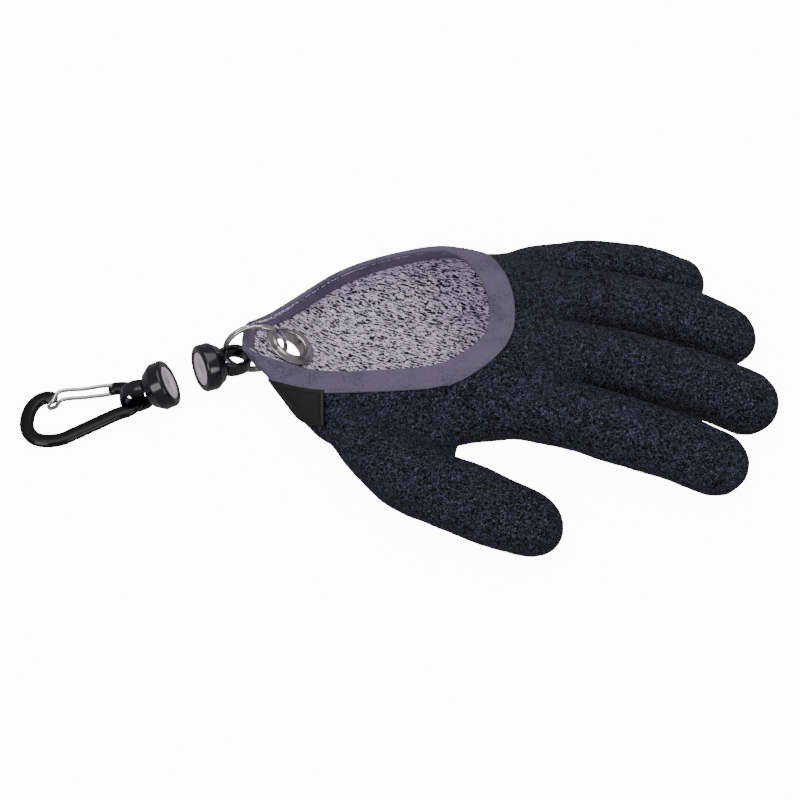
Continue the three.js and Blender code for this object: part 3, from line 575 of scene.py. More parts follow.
# %% Smoothing the roots
def relax(piece, points, weight, rounds):
    """Moves each point half way to the mean of its neighbours, times its weight, that many times over."""
    edges = np.empty(len(piece.data.edges) * 2, np.int32)
    piece.data.edges.foreach_get("vertices", edges)
    first, second = edges.reshape(-1, 2).T
    count = len(points)
    neighbours = np.maximum(np.bincount(first, minlength=count) + np.bincount(second, minlength=count), 1)
    for _ in range(rounds):
        total = np.stack([np.bincount(first, points[second, k], count)
                          + np.bincount(second, points[first, k], count) for k in range(3)], 1)
        points = points + 0.5 * weight[:, None] * (total / neighbours[:, None] - points)
    return points


def nearest(points, line):
    """Each point's distance to the nearest point of a line: the least root of summed squared differences."""
    least = np.full(len(points), np.inf)
    for b in line:
        least = np.minimum(least, ((points - b) ** 2).sum(1))
    return np.sqrt(least)


def smooth_step(value, low, high):
    """0 below low, 1 above high, and a smooth rise between them."""
    t = np.clip((value - low) / (high - low), 0, 1)
    return t * t * (3 - 2 * t)


skin, _ = vertex_arrays(coat)
in_palm = skin / MM - SHIFT
thumb_root = np.array([[-20.0, -40, 6], [-12, -48, 14], [-4, -42, 26],
                       [6, -38, 30], [16, -38, 28], [20, -42, 16]])
by_thumb = 1 - smooth_step(nearest(in_palm, thumb_root), 8, 20)
by_roots = 1 - smooth_step(np.abs(in_palm[:, 0] - (TIP_X + PALM_LENGTH - 7)), 10, 20)
skin = relax(coat, skin, np.maximum(by_thumb, by_roots), 110)
move_points(coat, skin)
print("rounded the roots by up to", round(float(np.abs(skin / MM - SHIFT - in_palm).max()), 1), "mm")

# %% [markdown]
# The finger tubes are solid and start inside the palm, so their roots are cut away from the room
# for the hand: a closed tube just inside the coat's inner face.

# %% Room for the hand
room_u, room_v = np.meshgrid(np.linspace(0.2, 0.993, 60), np.linspace(0, 1, 96, endpoint=False),
                             indexing="ij")
room_rings = surface(room_u, room_v) - skin_normal(room_u, room_v) * (COAT_WALL + 0.18)
room_end = room_rings[-1:].copy()
room_end[..., 0] = TIP_X + PALM_LENGTH - 0.3
room = mesh_piece("room", *capped_tube(np.concatenate([room_rings, room_end])[::-1]))
cut_away(coat, room)
bpy.data.objects.remove(room)
skin, out = vertex_arrays(coat)
in_palm = skin / MM - SHIFT
print(f"the coat has {len(skin)} points")

# %% [markdown]
# Tape, stitches and label all follow the edge of the opening. So the rim is found first as a line of
# (u, v) on the skin, and then a way to walk from it over the cloth by a number of millimetres.

# %% The rim, and walking away from it over the cloth
TAPE_WIDTH = 10.5
RIM_COUNT = 520
SIDE_COUNT = 400             # points on each stretch of the rim before it is divided evenly


def rolling(values, reach):
    """Each value of a closed line averaged with its neighbours."""
    return sum(np.roll(values, k, axis=0) for k in range(-reach, reach + 1)) / (2 * reach + 1)


def rim_line(count):
    """(u, v) at even distances: down the near side, round the tip, up the far side and over the back.

    Where a side runs into the opening's rounded end, the line is a rolling mean of itself."""
    corner = np.linspace(0, np.pi, SIDE_COUNT)[1:-1]
    aside = np.sign(np.cos(corner)) * np.abs(np.cos(corner)) ** (2 / TIP_POWER)
    tip_v = FAR_V + UNDER * (aside + 1) / 2
    back_v = NEAR_V + (FAR_V - NEAR_V) * END_SHAPE[::-1, 0]
    u = np.concatenate([np.linspace(OPEN_U, TIP_ROUND, SIDE_COUNT), tip_start(tip_v),
                        np.linspace(TIP_ROUND, OPEN_U, SIDE_COUNT), back_start(back_v)])
    v = np.concatenate([np.full(SIDE_COUNT, NEAR_V + 1), tip_v, np.full(SIDE_COUNT, FAR_V), back_v])
    line = surface(u, v)
    step = np.linalg.norm(np.diff(line, axis=0, append=line[:1]), axis=1)
    length = np.concatenate([[0], np.cumsum(step)])
    wanted = np.linspace(0, length[-1], count, endpoint=False)
    at = np.clip(np.searchsorted(length, wanted, side="right") - 1, 0, len(u) - 1)
    nxt = (at + 1) % len(u)
    share = (wanted - length[at]) / np.maximum(step[at], 1e-9)
    near_v = np.where(np.abs(v[nxt] - v[at]) > 0.5, v[at], v[nxt])
    u, v = u[at] + share * (u[nxt] - u[at]), v[at] + share * (near_v - v[at])
    turn, reach = np.arange(count) / count, count // 42
    blend = smooth_step(u, 0.42, 0.58)
    return u + blend * (rolling(u, reach) - u), v + blend * (rolling(v + turn, reach) - turn - v)


def walk(u, v, direction, distance, steps=12):
    """From each (u, v), goes a distance over the skin: small steps in the plane of the two slopes."""
    for _ in range(steps):
        along, around = cloth_slopes(u, v)
        a, b, c = (along * along).sum(-1), (along * around).sum(-1), (around * around).sum(-1)
        p = (along * direction).sum(-1) * distance / steps
        q = (around * direction).sum(-1) * distance / steps
        determinant = a * c - b * b
        u, v = u + (c * p - b * q) / determinant, v + (a * q - b * p) / determinant
    return u, v


rim_u, rim_v = rim_line(RIM_COUNT)
rim = surface(rim_u, rim_v)
rim_ahead = unit(rolling(np.roll(rim, -1, axis=0) - np.roll(rim, 1, axis=0), 4))
rim_normal = unit(rolling(skin_normal(rim_u, rim_v), 4))
rim_inward = unit(np.cross(rim_normal, rim_ahead))
from_tip = np.clip((rim[:, 0] - rim[:, 0].min()) / (1.6 * TAPE_WIDTH), 0, 1)
rim_width = TAPE_WIDTH * (0.5 + 0.5 * from_tip ** 2 * (3 - 2 * from_tip))
print(f"the rim is {distances(rim)[-1]:.0f} mm long")

# %% [markdown]
# A worn coat has soft dents, small ones and broad ones together. Three sizes of noise move its
# points along their normals. The dents die away under the tape, which has to lie flat, and they
# leave the inner face alone, so that the coat doesn't come through the lining.

# %% Dents in the coat
FIRST_FREE_X = 62            # past this the coat has no lining inside it
MIDDLE_Y, MIDDLE_Z = 10, 18  # a line along the palm's middle, which tells its outer face from its inner
DENTS = ((0.15, 2.6, 5), (0.22, 8, 6), (0.3, 21, 7))     # each a depth, a size and a seed
tape_middle = surface(*walk(rim_u, rim_v, rim_inward, rim_width / 2))[::4]
away = smooth_step(nearest(in_palm, tape_middle), 6.5, 12)
bumps = sum(depth * soft_noise(in_palm, size, seed) for depth, size, seed in DENTS)
facing_out = (in_palm[:, 1] - MIDDLE_Y) * out[:, 1] + (in_palm[:, 2] - MIDDLE_Z) * out[:, 2] > 0
rise = away * np.clip(skin[:, 2] / (2.5 * MM), 0, 1) * (facing_out | (in_palm[:, 0] > FIRST_FREE_X))
skin = skin + out * (bumps * rise * MM)[:, None]
skin[:, 2] = np.maximum(skin[:, 2], 0.3 * MM)
move_points(coat, skin)
print(f"the dents are up to {np.abs(bumps * rise).max():.2f} mm deep")

# %% [markdown]
# The tape is folded over the raw edge of the opening. A bevelled curve could follow the rim, but its
# section couldn't lie flat on curved cloth. So it is drawn as one closed ribbon: an outer leaf, a
# rounded fold and an inner leaf, each point of which is found by walking over the skin. Where the
# tape's ends overlap, and where it is tucked at the opening's far end, its outer leaf steps up.

# %% The tape's section, carried round the rim
OUT_FACE, IN_FACE = 0.95, -3.6          # the leaves' faces, above and below the skin
COAT_TOP, LINER_FACE = 0.12, -2.78      # the cloth's faces that the leaves lie on
FOLD_ROUND, FOLD_HALF = 1.3, 1.2        # the folded edge: how deep its nose is, and half its thickness
EDGE_TUCK = 0.3                         # the outer leaf's free edge is pressed down by this
LAP_X, LAP_RISE, LAP_FADE = -57.0, 0.6, 9           # where the tape's two ends meet
TUCK_X, TUCK_RISE, TUCK_FADE = 18.5, 0.55, 5        # where it is folded at the opening's far end


def fold_half(distance):
    """Half the thickness of the folded edge: a rounded nose that grows to the full stack of cloth."""
    nose = np.sqrt(np.clip(1 - (1 - np.clip(distance / FOLD_ROUND, 0, 1)) ** 2, 0, 1))
    return nose * (FOLD_HALF + ((OUT_FACE - IN_FACE) / 2 - FOLD_HALF) * smooth_step(distance, 1.0, 6.0))


def tape_rings(shares):
    """Points and normals of the skin at shares of the tape's width from the rim, one line for each share."""
    lines = []
    for share in shares:
        u, v = walk(rim_u, rim_v, rim_inward, share * rim_width) if share else (rim_u, rim_v)
        normal = skin_normal(u, v) if share > 0.3 else rim_normal
        lines.append((surface(u, v), unit(normal), share * rim_width))
    return lines


def lap(x, far_side, height, fade):
    """Extra height past a place of the rim, where tape lies on tape. It dies away as exp(-s / fade)."""
    side = rim_v < 1.0 if far_side else rim_v >= 1.3
    passed = rim[:, 0] > x if far_side else rim[:, 0] < x
    start = int(np.argmax(side & passed & (rim_u < 0.98 * OPEN_U)))
    past = (np.arange(RIM_COUNT) - start) * rim_step
    return height * np.where((past >= 0) & (past < 6 * fade), np.exp(-past / fade), 0)


rim_step = np.linalg.norm(np.diff(rim, axis=0), axis=1).mean()
overlap = lap(LAP_X, False, LAP_RISE, LAP_FADE) + lap(TUCK_X, True, TUCK_RISE, TUCK_FADE)
leaf_shares = [1, .985, .9, .75, .6, .45, .33, .23, .15, .09, .045, .015, 0]
leaf = tape_rings(leaf_shares)
middle = (OUT_FACE + IN_FACE) / 2
section = []
for k, (point, normal, distance) in enumerate(leaf):
    lift = middle + fold_half(distance)
    section.append(point + normal * (lift + overlap - (EDGE_TUCK if k == 0 else 0))[:, None])
for point, normal, distance in leaf[-2:1:-1]:
    section.append(point + normal * (middle - fold_half(distance))[:, None])
for point, normal, distance in leaf[2:8]:
    section.append(point + normal * LINER_FACE)
for point, normal, distance in leaf[7:1:-1]:
    section.append(point + normal * COAT_TOP)
section.append(leaf[0][0] + leaf[0][1] * COAT_TOP)
ribbon = np.stack(section, 1)
tape_points = ribbon.reshape(-1, 3)
tape_faces = grid_faces(RIM_COUNT, ribbon.shape[1], loop_rows=True, loop_columns=True)
print("the tape's section has", ribbon.shape[1], "points, and it is", f"{rim_width.max():.1f} mm wide")

# %% [markdown]
# The small stitches run just inside the tape's free edge. They could be painted on as a pattern,
# but a raised thread catches the light. Each is a short bead, an ellipsoid with few faces,
# because there are about a hundred of them.

# %% Stitches along the tape
def beads(centres, along, up, length, thick, rise, sides=8, rings=5):
    """Small ellipsoids: each has its long axis along its own direction and stands on its own normal."""
    across = unit(np.cross(up, along))
    theta = np.linspace(0, np.pi, rings + 2)[1:-1]
    phi = np.linspace(0, 2 * np.pi, sides, endpoint=False)
    local = np.stack([np.cos(theta)[:, None] * np.ones(sides), np.sin(theta)[:, None] * np.cos(phi),
                      np.sin(theta)[:, None] * np.sin(phi)], -1).reshape(-1, 3)
    local = np.concatenate([local, [[1, 0, 0], [-1, 0, 0]]]) * np.array([length / 2, thick / 2, rise / 2])
    points = (centres[:, None] + along[:, None] * local[None, :, :1]
              + across[:, None] * local[None, :, 1:2] + up[:, None] * local[None, :, 2:])
    one = grid_faces(rings, sides).tolist()
    one += [[rings * sides, (i + 1) % sides, i] for i in range(sides)]
    last = (rings - 1) * sides
    one += [[rings * sides + 1, last + i, last + (i + 1) % sides] for i in range(sides)]
    return join_parts([(part, [face[::-1] for face in one]) for part in points])


STITCH_PITCH, STITCH_LENGTH, THREAD_WIDTH, THREAD_RISE = 3.1, 1.9, 0.5, 0.34
FROM_EDGE, BARE_TIP = 1.7, 7.0          # the seam's distance from the tape's edge, and the unstitched tip
stitch_u, stitch_v = walk(rim_u, rim_v, rim_inward, rim_width - FROM_EDGE)
seam = surface(stitch_u, stitch_v)
seam_normal = skin_normal(stitch_u, stitch_v)
seam_length = distances(np.concatenate([seam, seam[:1]]))
wanted = np.arange(0, seam_length[-1] - STITCH_PITCH / 2, STITCH_PITCH)
picks = np.searchsorted(seam_length[:-1], wanted) % RIM_COUNT
picks = picks[rim[picks, 0] > rim[:, 0].min() + BARE_TIP]
stitch_ahead = unit(np.roll(seam, -1, axis=0) - np.roll(seam, 1, axis=0))[picks]
bead_points, bead_faces = beads(seam[picks] + seam_normal[picks] * (OUT_FACE + 0.13), stitch_ahead,
                                seam_normal[picks], STITCH_LENGTH, THREAD_WIDTH, THREAD_RISE)
print("there are", len(picks), "stitches")

# %% [markdown]
# The label is a small woven patch sewn to the near wall, its cut edges folded under, so that it has
# a raised frame and a flat middle. It is left bare. A flat plane would stand off the curved wall,
# so its grid walks down the skin from the rim, and a height is added over the folded edges.

# %% The label
LABEL_ALONG, LABEL_LENGTH, LABEL_HEIGHT = 0.085, 25.0, 13.0
LABEL_TOP, LABEL_TUCK = 9.6, 2.1        # it starts so far from the rim, and its foot is longer by the tuck
LABEL_WALL, FRAME_RISE = 1.0, 0.7
label_columns, label_rows = 81, 45
across = np.linspace(0, 1, label_columns)
down = np.linspace(0, 1, label_rows)
label_u = np.array([u_at_share(LABEL_ALONG + share * LABEL_LENGTH / PALM_LENGTH) for share in across])
label_v = np.full(label_columns, NEAR_V + 1.0)
direction = -unit(cloth_slopes(label_u, label_v)[1])
rows = []
for share in down:
    down_by = LABEL_TOP + share * (LABEL_HEIGHT + LABEL_TUCK)
    u, v = walk(label_u, label_v, direction, np.full(label_columns, down_by))
    rows.append((surface(u, v), skin_normal(u, v)))
label_skin = np.stack([row[0] for row in rows])
label_normal = unit(np.stack([row[1] for row in rows]))
edge_across = np.minimum(across, 1 - across) * LABEL_LENGTH
edge_down = np.minimum(down, 1 - down) * (LABEL_HEIGHT + LABEL_TUCK)
edge = np.minimum(edge_down[:, None], edge_across[None, :])
frame_height = FRAME_RISE * (smooth_step(edge, 0, 0.5) - smooth_step(edge, 1.5, 2.0))
label_points, label_faces = thick_sheet(
    (label_skin + label_normal * frame_height[..., None]).reshape(-1, 3), label_normal.reshape(-1, 3),
    grid_faces(label_rows, label_columns, loop_columns=False), LABEL_WALL, -0.2)
print(f"the label is {LABEL_LENGTH:.0f} by {LABEL_HEIGHT + LABEL_TUCK:.0f} mm")

# %% [markdown]
# The knitted bag inside is the same sheet, moved inwards by the coat's thickness. A pattern in plain
# space would be cut at random by the curved cloth. So each point also keeps its place on the flat
# cloth, as a UV map: distance along the hand, and distance round it from the keel.

# %% The knitted lining
LINER_OUT, LINER_IN, LINER_BACK_OFF = -1.85, -2.7, 2.9
CAP_SPAN = 30.0              # the flat cloth that the dome at the fingers takes up
bag_points, bag_faces, used, lining, lining_v = bag(LINER_BACK_OFF, LINER_OUT, LINER_IN)
round_steps = np.linalg.norm(np.diff(lining, axis=0, prepend=lining[:1]), axis=2)
round_length = np.cumsum(round_steps, axis=0)
keel = int(np.argmin(np.abs(lining_v - 1)))
flat_across = round_length - round_length[keel] - lining[keel, :, 1]
flat = np.stack([lining[..., 0] - TIP_X, flat_across], -1)
flat_cap = [flat[:, -1] + np.array([CAP_SPAN, 0]) * share for share in CAP_SHARES]
flat_all = np.concatenate([flat.reshape(-1, 2)] + flat_cap + [flat[:1, -1] + [CAP_SPAN, 0]])
liner = mesh_piece("knit_lining", bag_points, bag_faces)


def flat_map(piece, places):
    """A UV map from a place for each point, in metres of flat cloth."""
    layer = piece.data.uv_layers.new(name="cloth")
    corner = np.empty(len(piece.data.loops), np.int32)
    piece.data.loops.foreach_get("vertex_index", corner)
    layer.data.foreach_set("uv", (np.asarray(places) * MM)[corner].ravel().astype(np.float32))


flat_map(liner, np.concatenate([flat_all, flat_all])[used])
print("the flat cloth spans", np.round(np.ptp(flat_all, axis=0)), "mm")

# %% [markdown]
# The eyelet is pressed through both layers, so the table shows through it. A Boolean modifier cuts
# its hole in the coat and in the lining. Eyelet and holders are turned on a lathe: a
# profile of radius and height, carried round an axis.

# %% Turning and placing
def turned(profile, sides=96):
    """Carries a closed profile of (radius, height) round the third axis."""
    profile = np.asarray(profile, float)
    angle = np.linspace(0, 2 * np.pi, sides, endpoint=False)
    rings = np.stack([profile[None, :, 0] * np.cos(angle)[:, None],
                      profile[None, :, 0] * np.sin(angle)[:, None],
                      np.broadcast_to(profile[:, 1], (sides, len(profile)))], -1)
    return rings.reshape(-1, 3), grid_faces(sides, len(profile), loop_rows=True, loop_columns=True)


def rounded(corners, radius, steps=5):
    """A closed outline whose corners are cut back and bent: a quadratic curve at each corner."""
    corners = np.asarray(corners, float)
    result = []
    for k, corner in enumerate(corners):
        before, after = corners[k - 1], corners[(k + 1) % len(corners)]
        r = radius[k] if np.ndim(radius) else radius
        cut_in = min(r, 0.49 * np.linalg.norm(corner - before))
        cut_out = min(r, 0.49 * np.linalg.norm(corner - after))
        start = corner + unit(before - corner) * cut_in
        end = corner + unit(after - corner) * cut_out
        if r <= 0:
            result.append(corner)
            continue
        for t in np.linspace(0, 1, steps):
            result.append((1 - t) ** 2 * start + 2 * t * (1 - t) * corner + t * t * end)
    return np.array(result)


def placed(points, matrix):
    """Points moved by a 3 by 4 matrix whose columns are the axes and the origin."""
    return np.asarray(points) @ matrix[:, :3].T + matrix[:, 3]


def frame_of(origin, first, second, third):
    """A 3 by 4 matrix from an origin and three axes."""
    return np.stack([first, second, third, origin], 1)


HOLE_RADIUS, PUNCH_REACH = 8.3, 9
EYELET_ALONG, EYELET_ROUND, EYELET_SINK = 0.145, 0.95, 1.3
eyelet_place = np.array([u_at_share(EYELET_ALONG)]), np.array([EYELET_ROUND])
eyelet_normal = skin_normal(*eyelet_place)[0]
eyelet_centre = surface(*eyelet_place)[0] - eyelet_normal * EYELET_SINK
side_axis = unit(np.cross(eyelet_normal, [1, 0, 0]))
EYELET = frame_of(eyelet_centre, unit(np.cross(side_axis, eyelet_normal)), side_axis, -eyelet_normal)
punch_points, punch_faces = turned([[0.01, -PUNCH_REACH], [HOLE_RADIUS, -PUNCH_REACH],
                                    [HOLE_RADIUS, PUNCH_REACH], [0.01, PUNCH_REACH]], 48)
punch = mesh_piece("punch", placed(punch_points, EYELET), punch_faces)
for cloth in (coat, liner):
    cut_away(cloth, punch)
bpy.data.objects.remove(punch)
print("eyelet at", np.round(eyelet_centre, 1))

# %% [markdown]
# An eyelet is two thin flanges with a barrel between them, rolled over on the far side. A plain torus
# would be round in section, and pressed metal is flat, so its own profile
# is turned.

# %% The eyelet
flange_profile = rounded([[6.35, -2.4], [7.6, -2.75], [10.6, -2.5], [11.3, -1.7], [8.2, -1.55],
                          [7.35, -1.3], [7.35, 1.3], [8.2, 1.55], [11.3, 1.6], [11.1, 2.2],
                          [8.7, 2.35], [8.0, 3.0], [6.9, 3.0], [6.35, 2.3]], 0.5, 4)
eyelet_points, eyelet_faces = turned(flange_profile[::-1], 120)
print(f"the eyelet is {2 * flange_profile[:, 0].max():.1f} mm across")

# %% [markdown]
# The split ring is one flat-sided wire wound twice. Two joined hoops would show no ends, so the wire
# is a small section carried along one line that steps aside at half its way, as on a key ring.

# %% Wires
def wire(line, up, outline):
    """Carries a section of (sideways, up) along a line; sideways is square to the line and to up."""
    ahead = unit(np.gradient(line, axis=0))
    sideways = unit(np.cross(ahead, up))
    upright = unit(np.cross(sideways, ahead))
    return capped_tube(line[:, None] + sideways[:, None] * outline[None, :, :1]
                       + upright[:, None] * outline[None, :, 1:])


def oval(width, height, count, power=1.0):
    """A closed section: an ellipse, or a squarer shape with a power below 1."""
    angle = np.linspace(0, 2 * np.pi, count, endpoint=False)
    c, s = np.cos(angle), np.sin(angle)
    return np.stack([np.sign(c) * np.abs(c) ** power * width / 2,
                     np.sign(s) * np.abs(s) ** power * height / 2], 1)


print("a plain wire's section has", len(oval(1, 1, 20)), "points")

# %% [markdown]
# The ring stands on its edge on the table, hooked through the eyelet. So its middle lies half its own
# size above the table, and about as far beyond the eyelet.

# %% The split ring
RING_SIZE, RING_WIRE, RING_YAW = 27.0, 1.5, 0.17
RING_TURNS, RING_START, RING_POINTS = 1.94, 0.27, 420
RING_BACK, RING_ASIDE, RING_RISE = 1.0, 2.2, 0.15       # small moves of its middle from that place
ring_radius = (RING_SIZE - RING_WIRE) / 2
ring_along = np.array([math.cos(RING_YAW), math.sin(RING_YAW), 0])
ring_centre = eyelet_centre + ring_along * (-RING_BACK - ring_radius)
ring_centre = np.array([ring_centre[0], ring_centre[1] - RING_ASIDE, RING_SIZE / 2 + RING_RISE])
RING = frame_of(ring_centre, ring_along, np.array([0, 0, 1.0]), np.cross(ring_along, [0, 0, 1.0]))
turned_by = RING_TURNS * np.linspace(0, 1, RING_POINTS)
angle = 2 * np.pi * (turned_by + RING_START)
crossing = turned_by - RING_TURNS / 2
spread = np.clip(crossing * 6, -1, 1) * 0.5 * RING_WIRE * 1.06
ring_line = np.stack([ring_radius * np.cos(angle), ring_radius * np.sin(angle), spread], 1)
ring_up = np.stack([np.cos(angle), np.sin(angle), np.zeros(RING_POINTS)], 1)
ring_points, ring_faces = wire(ring_line, ring_up, oval(RING_WIRE * 0.98, RING_WIRE * 1.04, 20, 0.75))
print("the ring's centre is at", np.round(ring_centre, 1))

# %% [markdown]
# Each magnet holder is a moulded cup with a chamfered rim, a cone behind it and a thick lug with
# a slot. The cup is turned, and the lug is a rounded band bent into a stadium. Bevelled cylinders
# would do as well, but one profile keeps all the rounded edges in a single list.

# %% The holders
HOLDER_SIZE, HOLDER_DEPTH, MAGNET_SIZE = 20.0, 6.5, 14.4
LUG_LENGTH, LUG_WIDTH, LUG_THICK, LUG_WALL, LUG_REACH = 15.2, 13.6, 6.4, 2.5, 15.4
POCKET_DEPTH, NECK_RADIUS = 4.6, 7.3
LUG_STEPS, LUG_SIDES = 120, 24


def stadium_line(length, width, count):
    """A closed loop with straight sides and half-round ends, in its own plane, at even distances."""
    radius, straight = width / 2, (length - width) / 2
    angle = np.linspace(-np.pi / 2, np.pi / 2, 60)
    right = np.stack([straight + radius * np.cos(angle), radius * np.sin(angle)], 1)
    loop = np.concatenate([right, -right])
    loop = np.concatenate([loop, loop[:1]])
    along = distances(loop)
    wanted = np.linspace(0, along[-1], count, endpoint=False)
    return np.stack([np.interp(wanted, along, loop[:, k]) for k in range(2)], 1)


def lug_band(upright):
    """The lug: a rounded oblong section carried round the stadium. Its axis lies along the holder's."""
    line = stadium_line(LUG_LENGTH - LUG_WALL, LUG_WIDTH - LUG_WALL, LUG_STEPS)
    ahead = unit(np.roll(line, -1, axis=0) - np.roll(line, 1, axis=0))
    outward = np.stack([ahead[:, 1], -ahead[:, 0]], 1)
    section = oval(LUG_WALL, LUG_THICK, LUG_SIDES, 0.55)
    flat_part = line[:, None] + outward[:, None] * section[None, :, :1]
    height = np.broadcast_to(section[None, :, 1:], flat_part.shape[:2] + (1,))
    rings = np.concatenate([flat_part, height], -1)
    if upright:
        rings = np.stack([rings[..., 0], -rings[..., 2], rings[..., 1]], -1)
    rings = rings + [LUG_REACH, 0, 0]
    return rings.reshape(-1, 3), grid_faces(LUG_STEPS, LUG_SIDES, loop_rows=True)


def x_turned(profile):
    """A turned shape whose axis is the first one: the profile is (radius, distance along it)."""
    points, faces = turned(profile)
    return np.stack([points[:, 2], points[:, 0], points[:, 1]], 1), faces


def holder_shape(upright):
    """The cup and its lug, as one list of points and faces."""
    radius, pocket = HOLDER_SIZE / 2, MAGNET_SIZE / 2 + 0.15
    neck = LUG_REACH - LUG_LENGTH / 2 + LUG_WALL * 0.8
    profile = rounded([[0.02, POCKET_DEPTH], [pocket, POCKET_DEPTH], [pocket, 0.05], [radius - 1.0, 0],
                       [radius, 1.0], [radius, HOLDER_DEPTH - 0.7], [radius - 0.6, HOLDER_DEPTH],
                       [NECK_RADIUS, neck], [0.02, neck]],
                      [0, 0.2, 0.25, 0.5, 0.5, 0.5, 0.6, 0.9, 0])
    return join_parts([x_turned(profile[::-1]), lug_band(upright)])


def magnet_shape():
    """The disc: flat, with a small round edge, and sunk a little into its cup."""
    radius, face, back = MAGNET_SIZE / 2, 0.4, POCKET_DEPTH - 0.2
    corners = [[0.02, face], [radius, face], [radius, back], [0.02, back]]
    return x_turned(rounded(corners, [0, 0.45, 0.1, 0])[::-1])


def cad_place(axes, origin):
    """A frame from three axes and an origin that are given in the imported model's own millimetres."""
    return frame_of(np.array(origin) - SHIFT, *[np.array(axis) for axis in axes])


GLOVE_HOLDER = cad_place([(.88405, .44906, -.12963), (-.45289, .89157, 0), (.11558, .05871, .99156)],
                         (-82.75117, 17.40887, 11.04639))
CLIP_HOLDER = cad_place([(-.90416, -.12742, -.40776), (.13954, -.99022, 0), (-.40377, -.0569, .91309)],
                        (-93.95117, 8.00887, 13.43464))
CLIP = cad_place([(.99854, -.00356, .05386), (0, .99782, .06595), (-.05397, -.06586, .99637)],
                 (-155.17761, -5.24369, 2.172))
print("the clip's holder lies at", np.round(CLIP_HOLDER[:, 3], 1))

# %% [markdown]
# The carabiner is a flat black bar with bevelled edges, bent into a hook, and its gate is a sprung
# loop of bright wire whose two ends sit in the bar. A curve with a bevel would twist the flat bar
# where it bends, so its section is carried along the line with one side always level.

# %% The carabiner
CLIP_LENGTH, BAR_WIDTH, BAR_THICK, BAR_BEVEL = 49.5, 5.7, 3.2, 0.8
BAR_STEPS, END_STEPS = 240, 8
CLIP_LINE = np.array([
    [0.276, 0.26], [0.168, 0.27], [0.104, 0.229], [0.057, 0.141], [0.045, 0], [0.072, -0.09],
    [0.129, -0.153], [0.198, -0.18], [0.276, -0.184], [0.364, -0.166], [0.452, -0.119], [0.589, -0.043],
    [0.795, 0.072], [0.893, 0.113], [0.943, 0.17], [0.957, 0.241], [0.93, 0.304], [0.867, 0.339],
    [0.797, 0.349], [0.7, 0.335],
])
bar_line = even_curve(np.column_stack([CLIP_LINE * CLIP_LENGTH, np.zeros(len(CLIP_LINE))]), BAR_STEPS)
bar_ahead = unit(np.gradient(bar_line, axis=0))
bar_side = np.stack([-bar_ahead[:, 1], bar_ahead[:, 0], np.zeros(len(bar_line))], 1)
half_w, half_t = BAR_WIDTH / 2, BAR_THICK / 2
inner_w, inner_t = half_w - BAR_BEVEL, half_t - BAR_BEVEL
bar_outline = rounded([[half_w, -inner_t], [half_w, inner_t], [inner_w, half_t], [-inner_w, half_t],
                       [-half_w, inner_t], [-half_w, -inner_t], [-inner_w, -half_t], [inner_w, -half_t]],
                      0.28, 4)
end_ease = np.ones(BAR_STEPS)
end_ease[:END_STEPS] = np.sqrt(1 - (1 - np.linspace(0.12, 1, END_STEPS)) ** 2)
end_ease[-END_STEPS:] = end_ease[:END_STEPS][::-1]
eased_outline = bar_outline[None] * end_ease[:, None, None]
bar_points, bar_faces = capped_tube(bar_line[:, None] + bar_side[:, None] * eased_outline[..., :1]
                                    + np.array([0, 0, 1.0]) * eased_outline[..., 1:])
print(f"the bar is {distances(bar_line)[-1]:.0f} mm long when straight")

# %% [markdown]
# The gate is one wire bent like a hairpin. Its legs start in the bar, run above and below it, and
# meet in a bight behind the bar's nose. Only half of the line is given, and the other half mirrors it.

# %% The wire gate
GATE_WIRE = 1.65
LEG_HEIGHT = BAR_THICK / 2 + 1.2         # each leg's distance from the level of the bar's middle
GATE_PIVOT, GATE_NOSE = np.array([0.735, 0.337]), np.array([0.295, 0.283])
GATE_BIGHT = np.array([0.217, 0.175])


def clip_point(share, height):
    """A point of the carabiner, from its place as shares of its length and its height in millimetres."""
    return np.array([*(share * CLIP_LENGTH), height])


near_bight = np.array([(GATE_NOSE[0] + GATE_BIGHT[0]) / 2, (GATE_NOSE[1] + 2 * GATE_BIGHT[1]) / 3])
half_gate = [clip_point(GATE_PIVOT, 0.42 * BAR_THICK), clip_point(GATE_PIVOT, LEG_HEIGHT - 0.49),
             clip_point(GATE_PIVOT - [0.012, 0], LEG_HEIGHT),
             clip_point((GATE_PIVOT + GATE_NOSE) / 2, LEG_HEIGHT), clip_point(GATE_NOSE, LEG_HEIGHT),
             clip_point(near_bight, 0.86 * LEG_HEIGHT), clip_point(GATE_BIGHT, 0.35 * LEG_HEIGHT)]
gate_line = even_curve(half_gate + [point * [1, 1, -1] for point in half_gate[::-1]], 300)
gate_up = np.broadcast_to(unit(np.array([0.13, 0.99, 0.05])), gate_line.shape)
gate_points, gate_faces = wire(gate_line, gate_up, oval(GATE_WIRE, GATE_WIRE, 18))
print(f"the gate's wire is {distances(gate_line)[-1]:.0f} mm long")

# %% [markdown]
# Materials are small node graphs. Cloth patterns read the flat cloth's map, and everything else reads
# Object coordinates, which are metres here, so that a scale of 1000 gives one cell a millimetre.
# Node graphs rather than pictures keep a finish sharp at any distance.

# %% Material helpers
def material(name, color, roughness, metallic=0.0, **sockets):
    """A Principled material with its constants on the shader's own sockets."""
    made = bpy.data.materials.new(name)
    made.use_nodes = True
    shader = made.node_tree.nodes["Principled BSDF"]
    shader.inputs["Base Color"].default_value = (*color, 1)
    shader.inputs["Roughness"].default_value = roughness
    shader.inputs["Metallic"].default_value = metallic
    for socket, value in sockets.items():
        shader.inputs[socket.replace("_", " ")].default_value = value
    return made


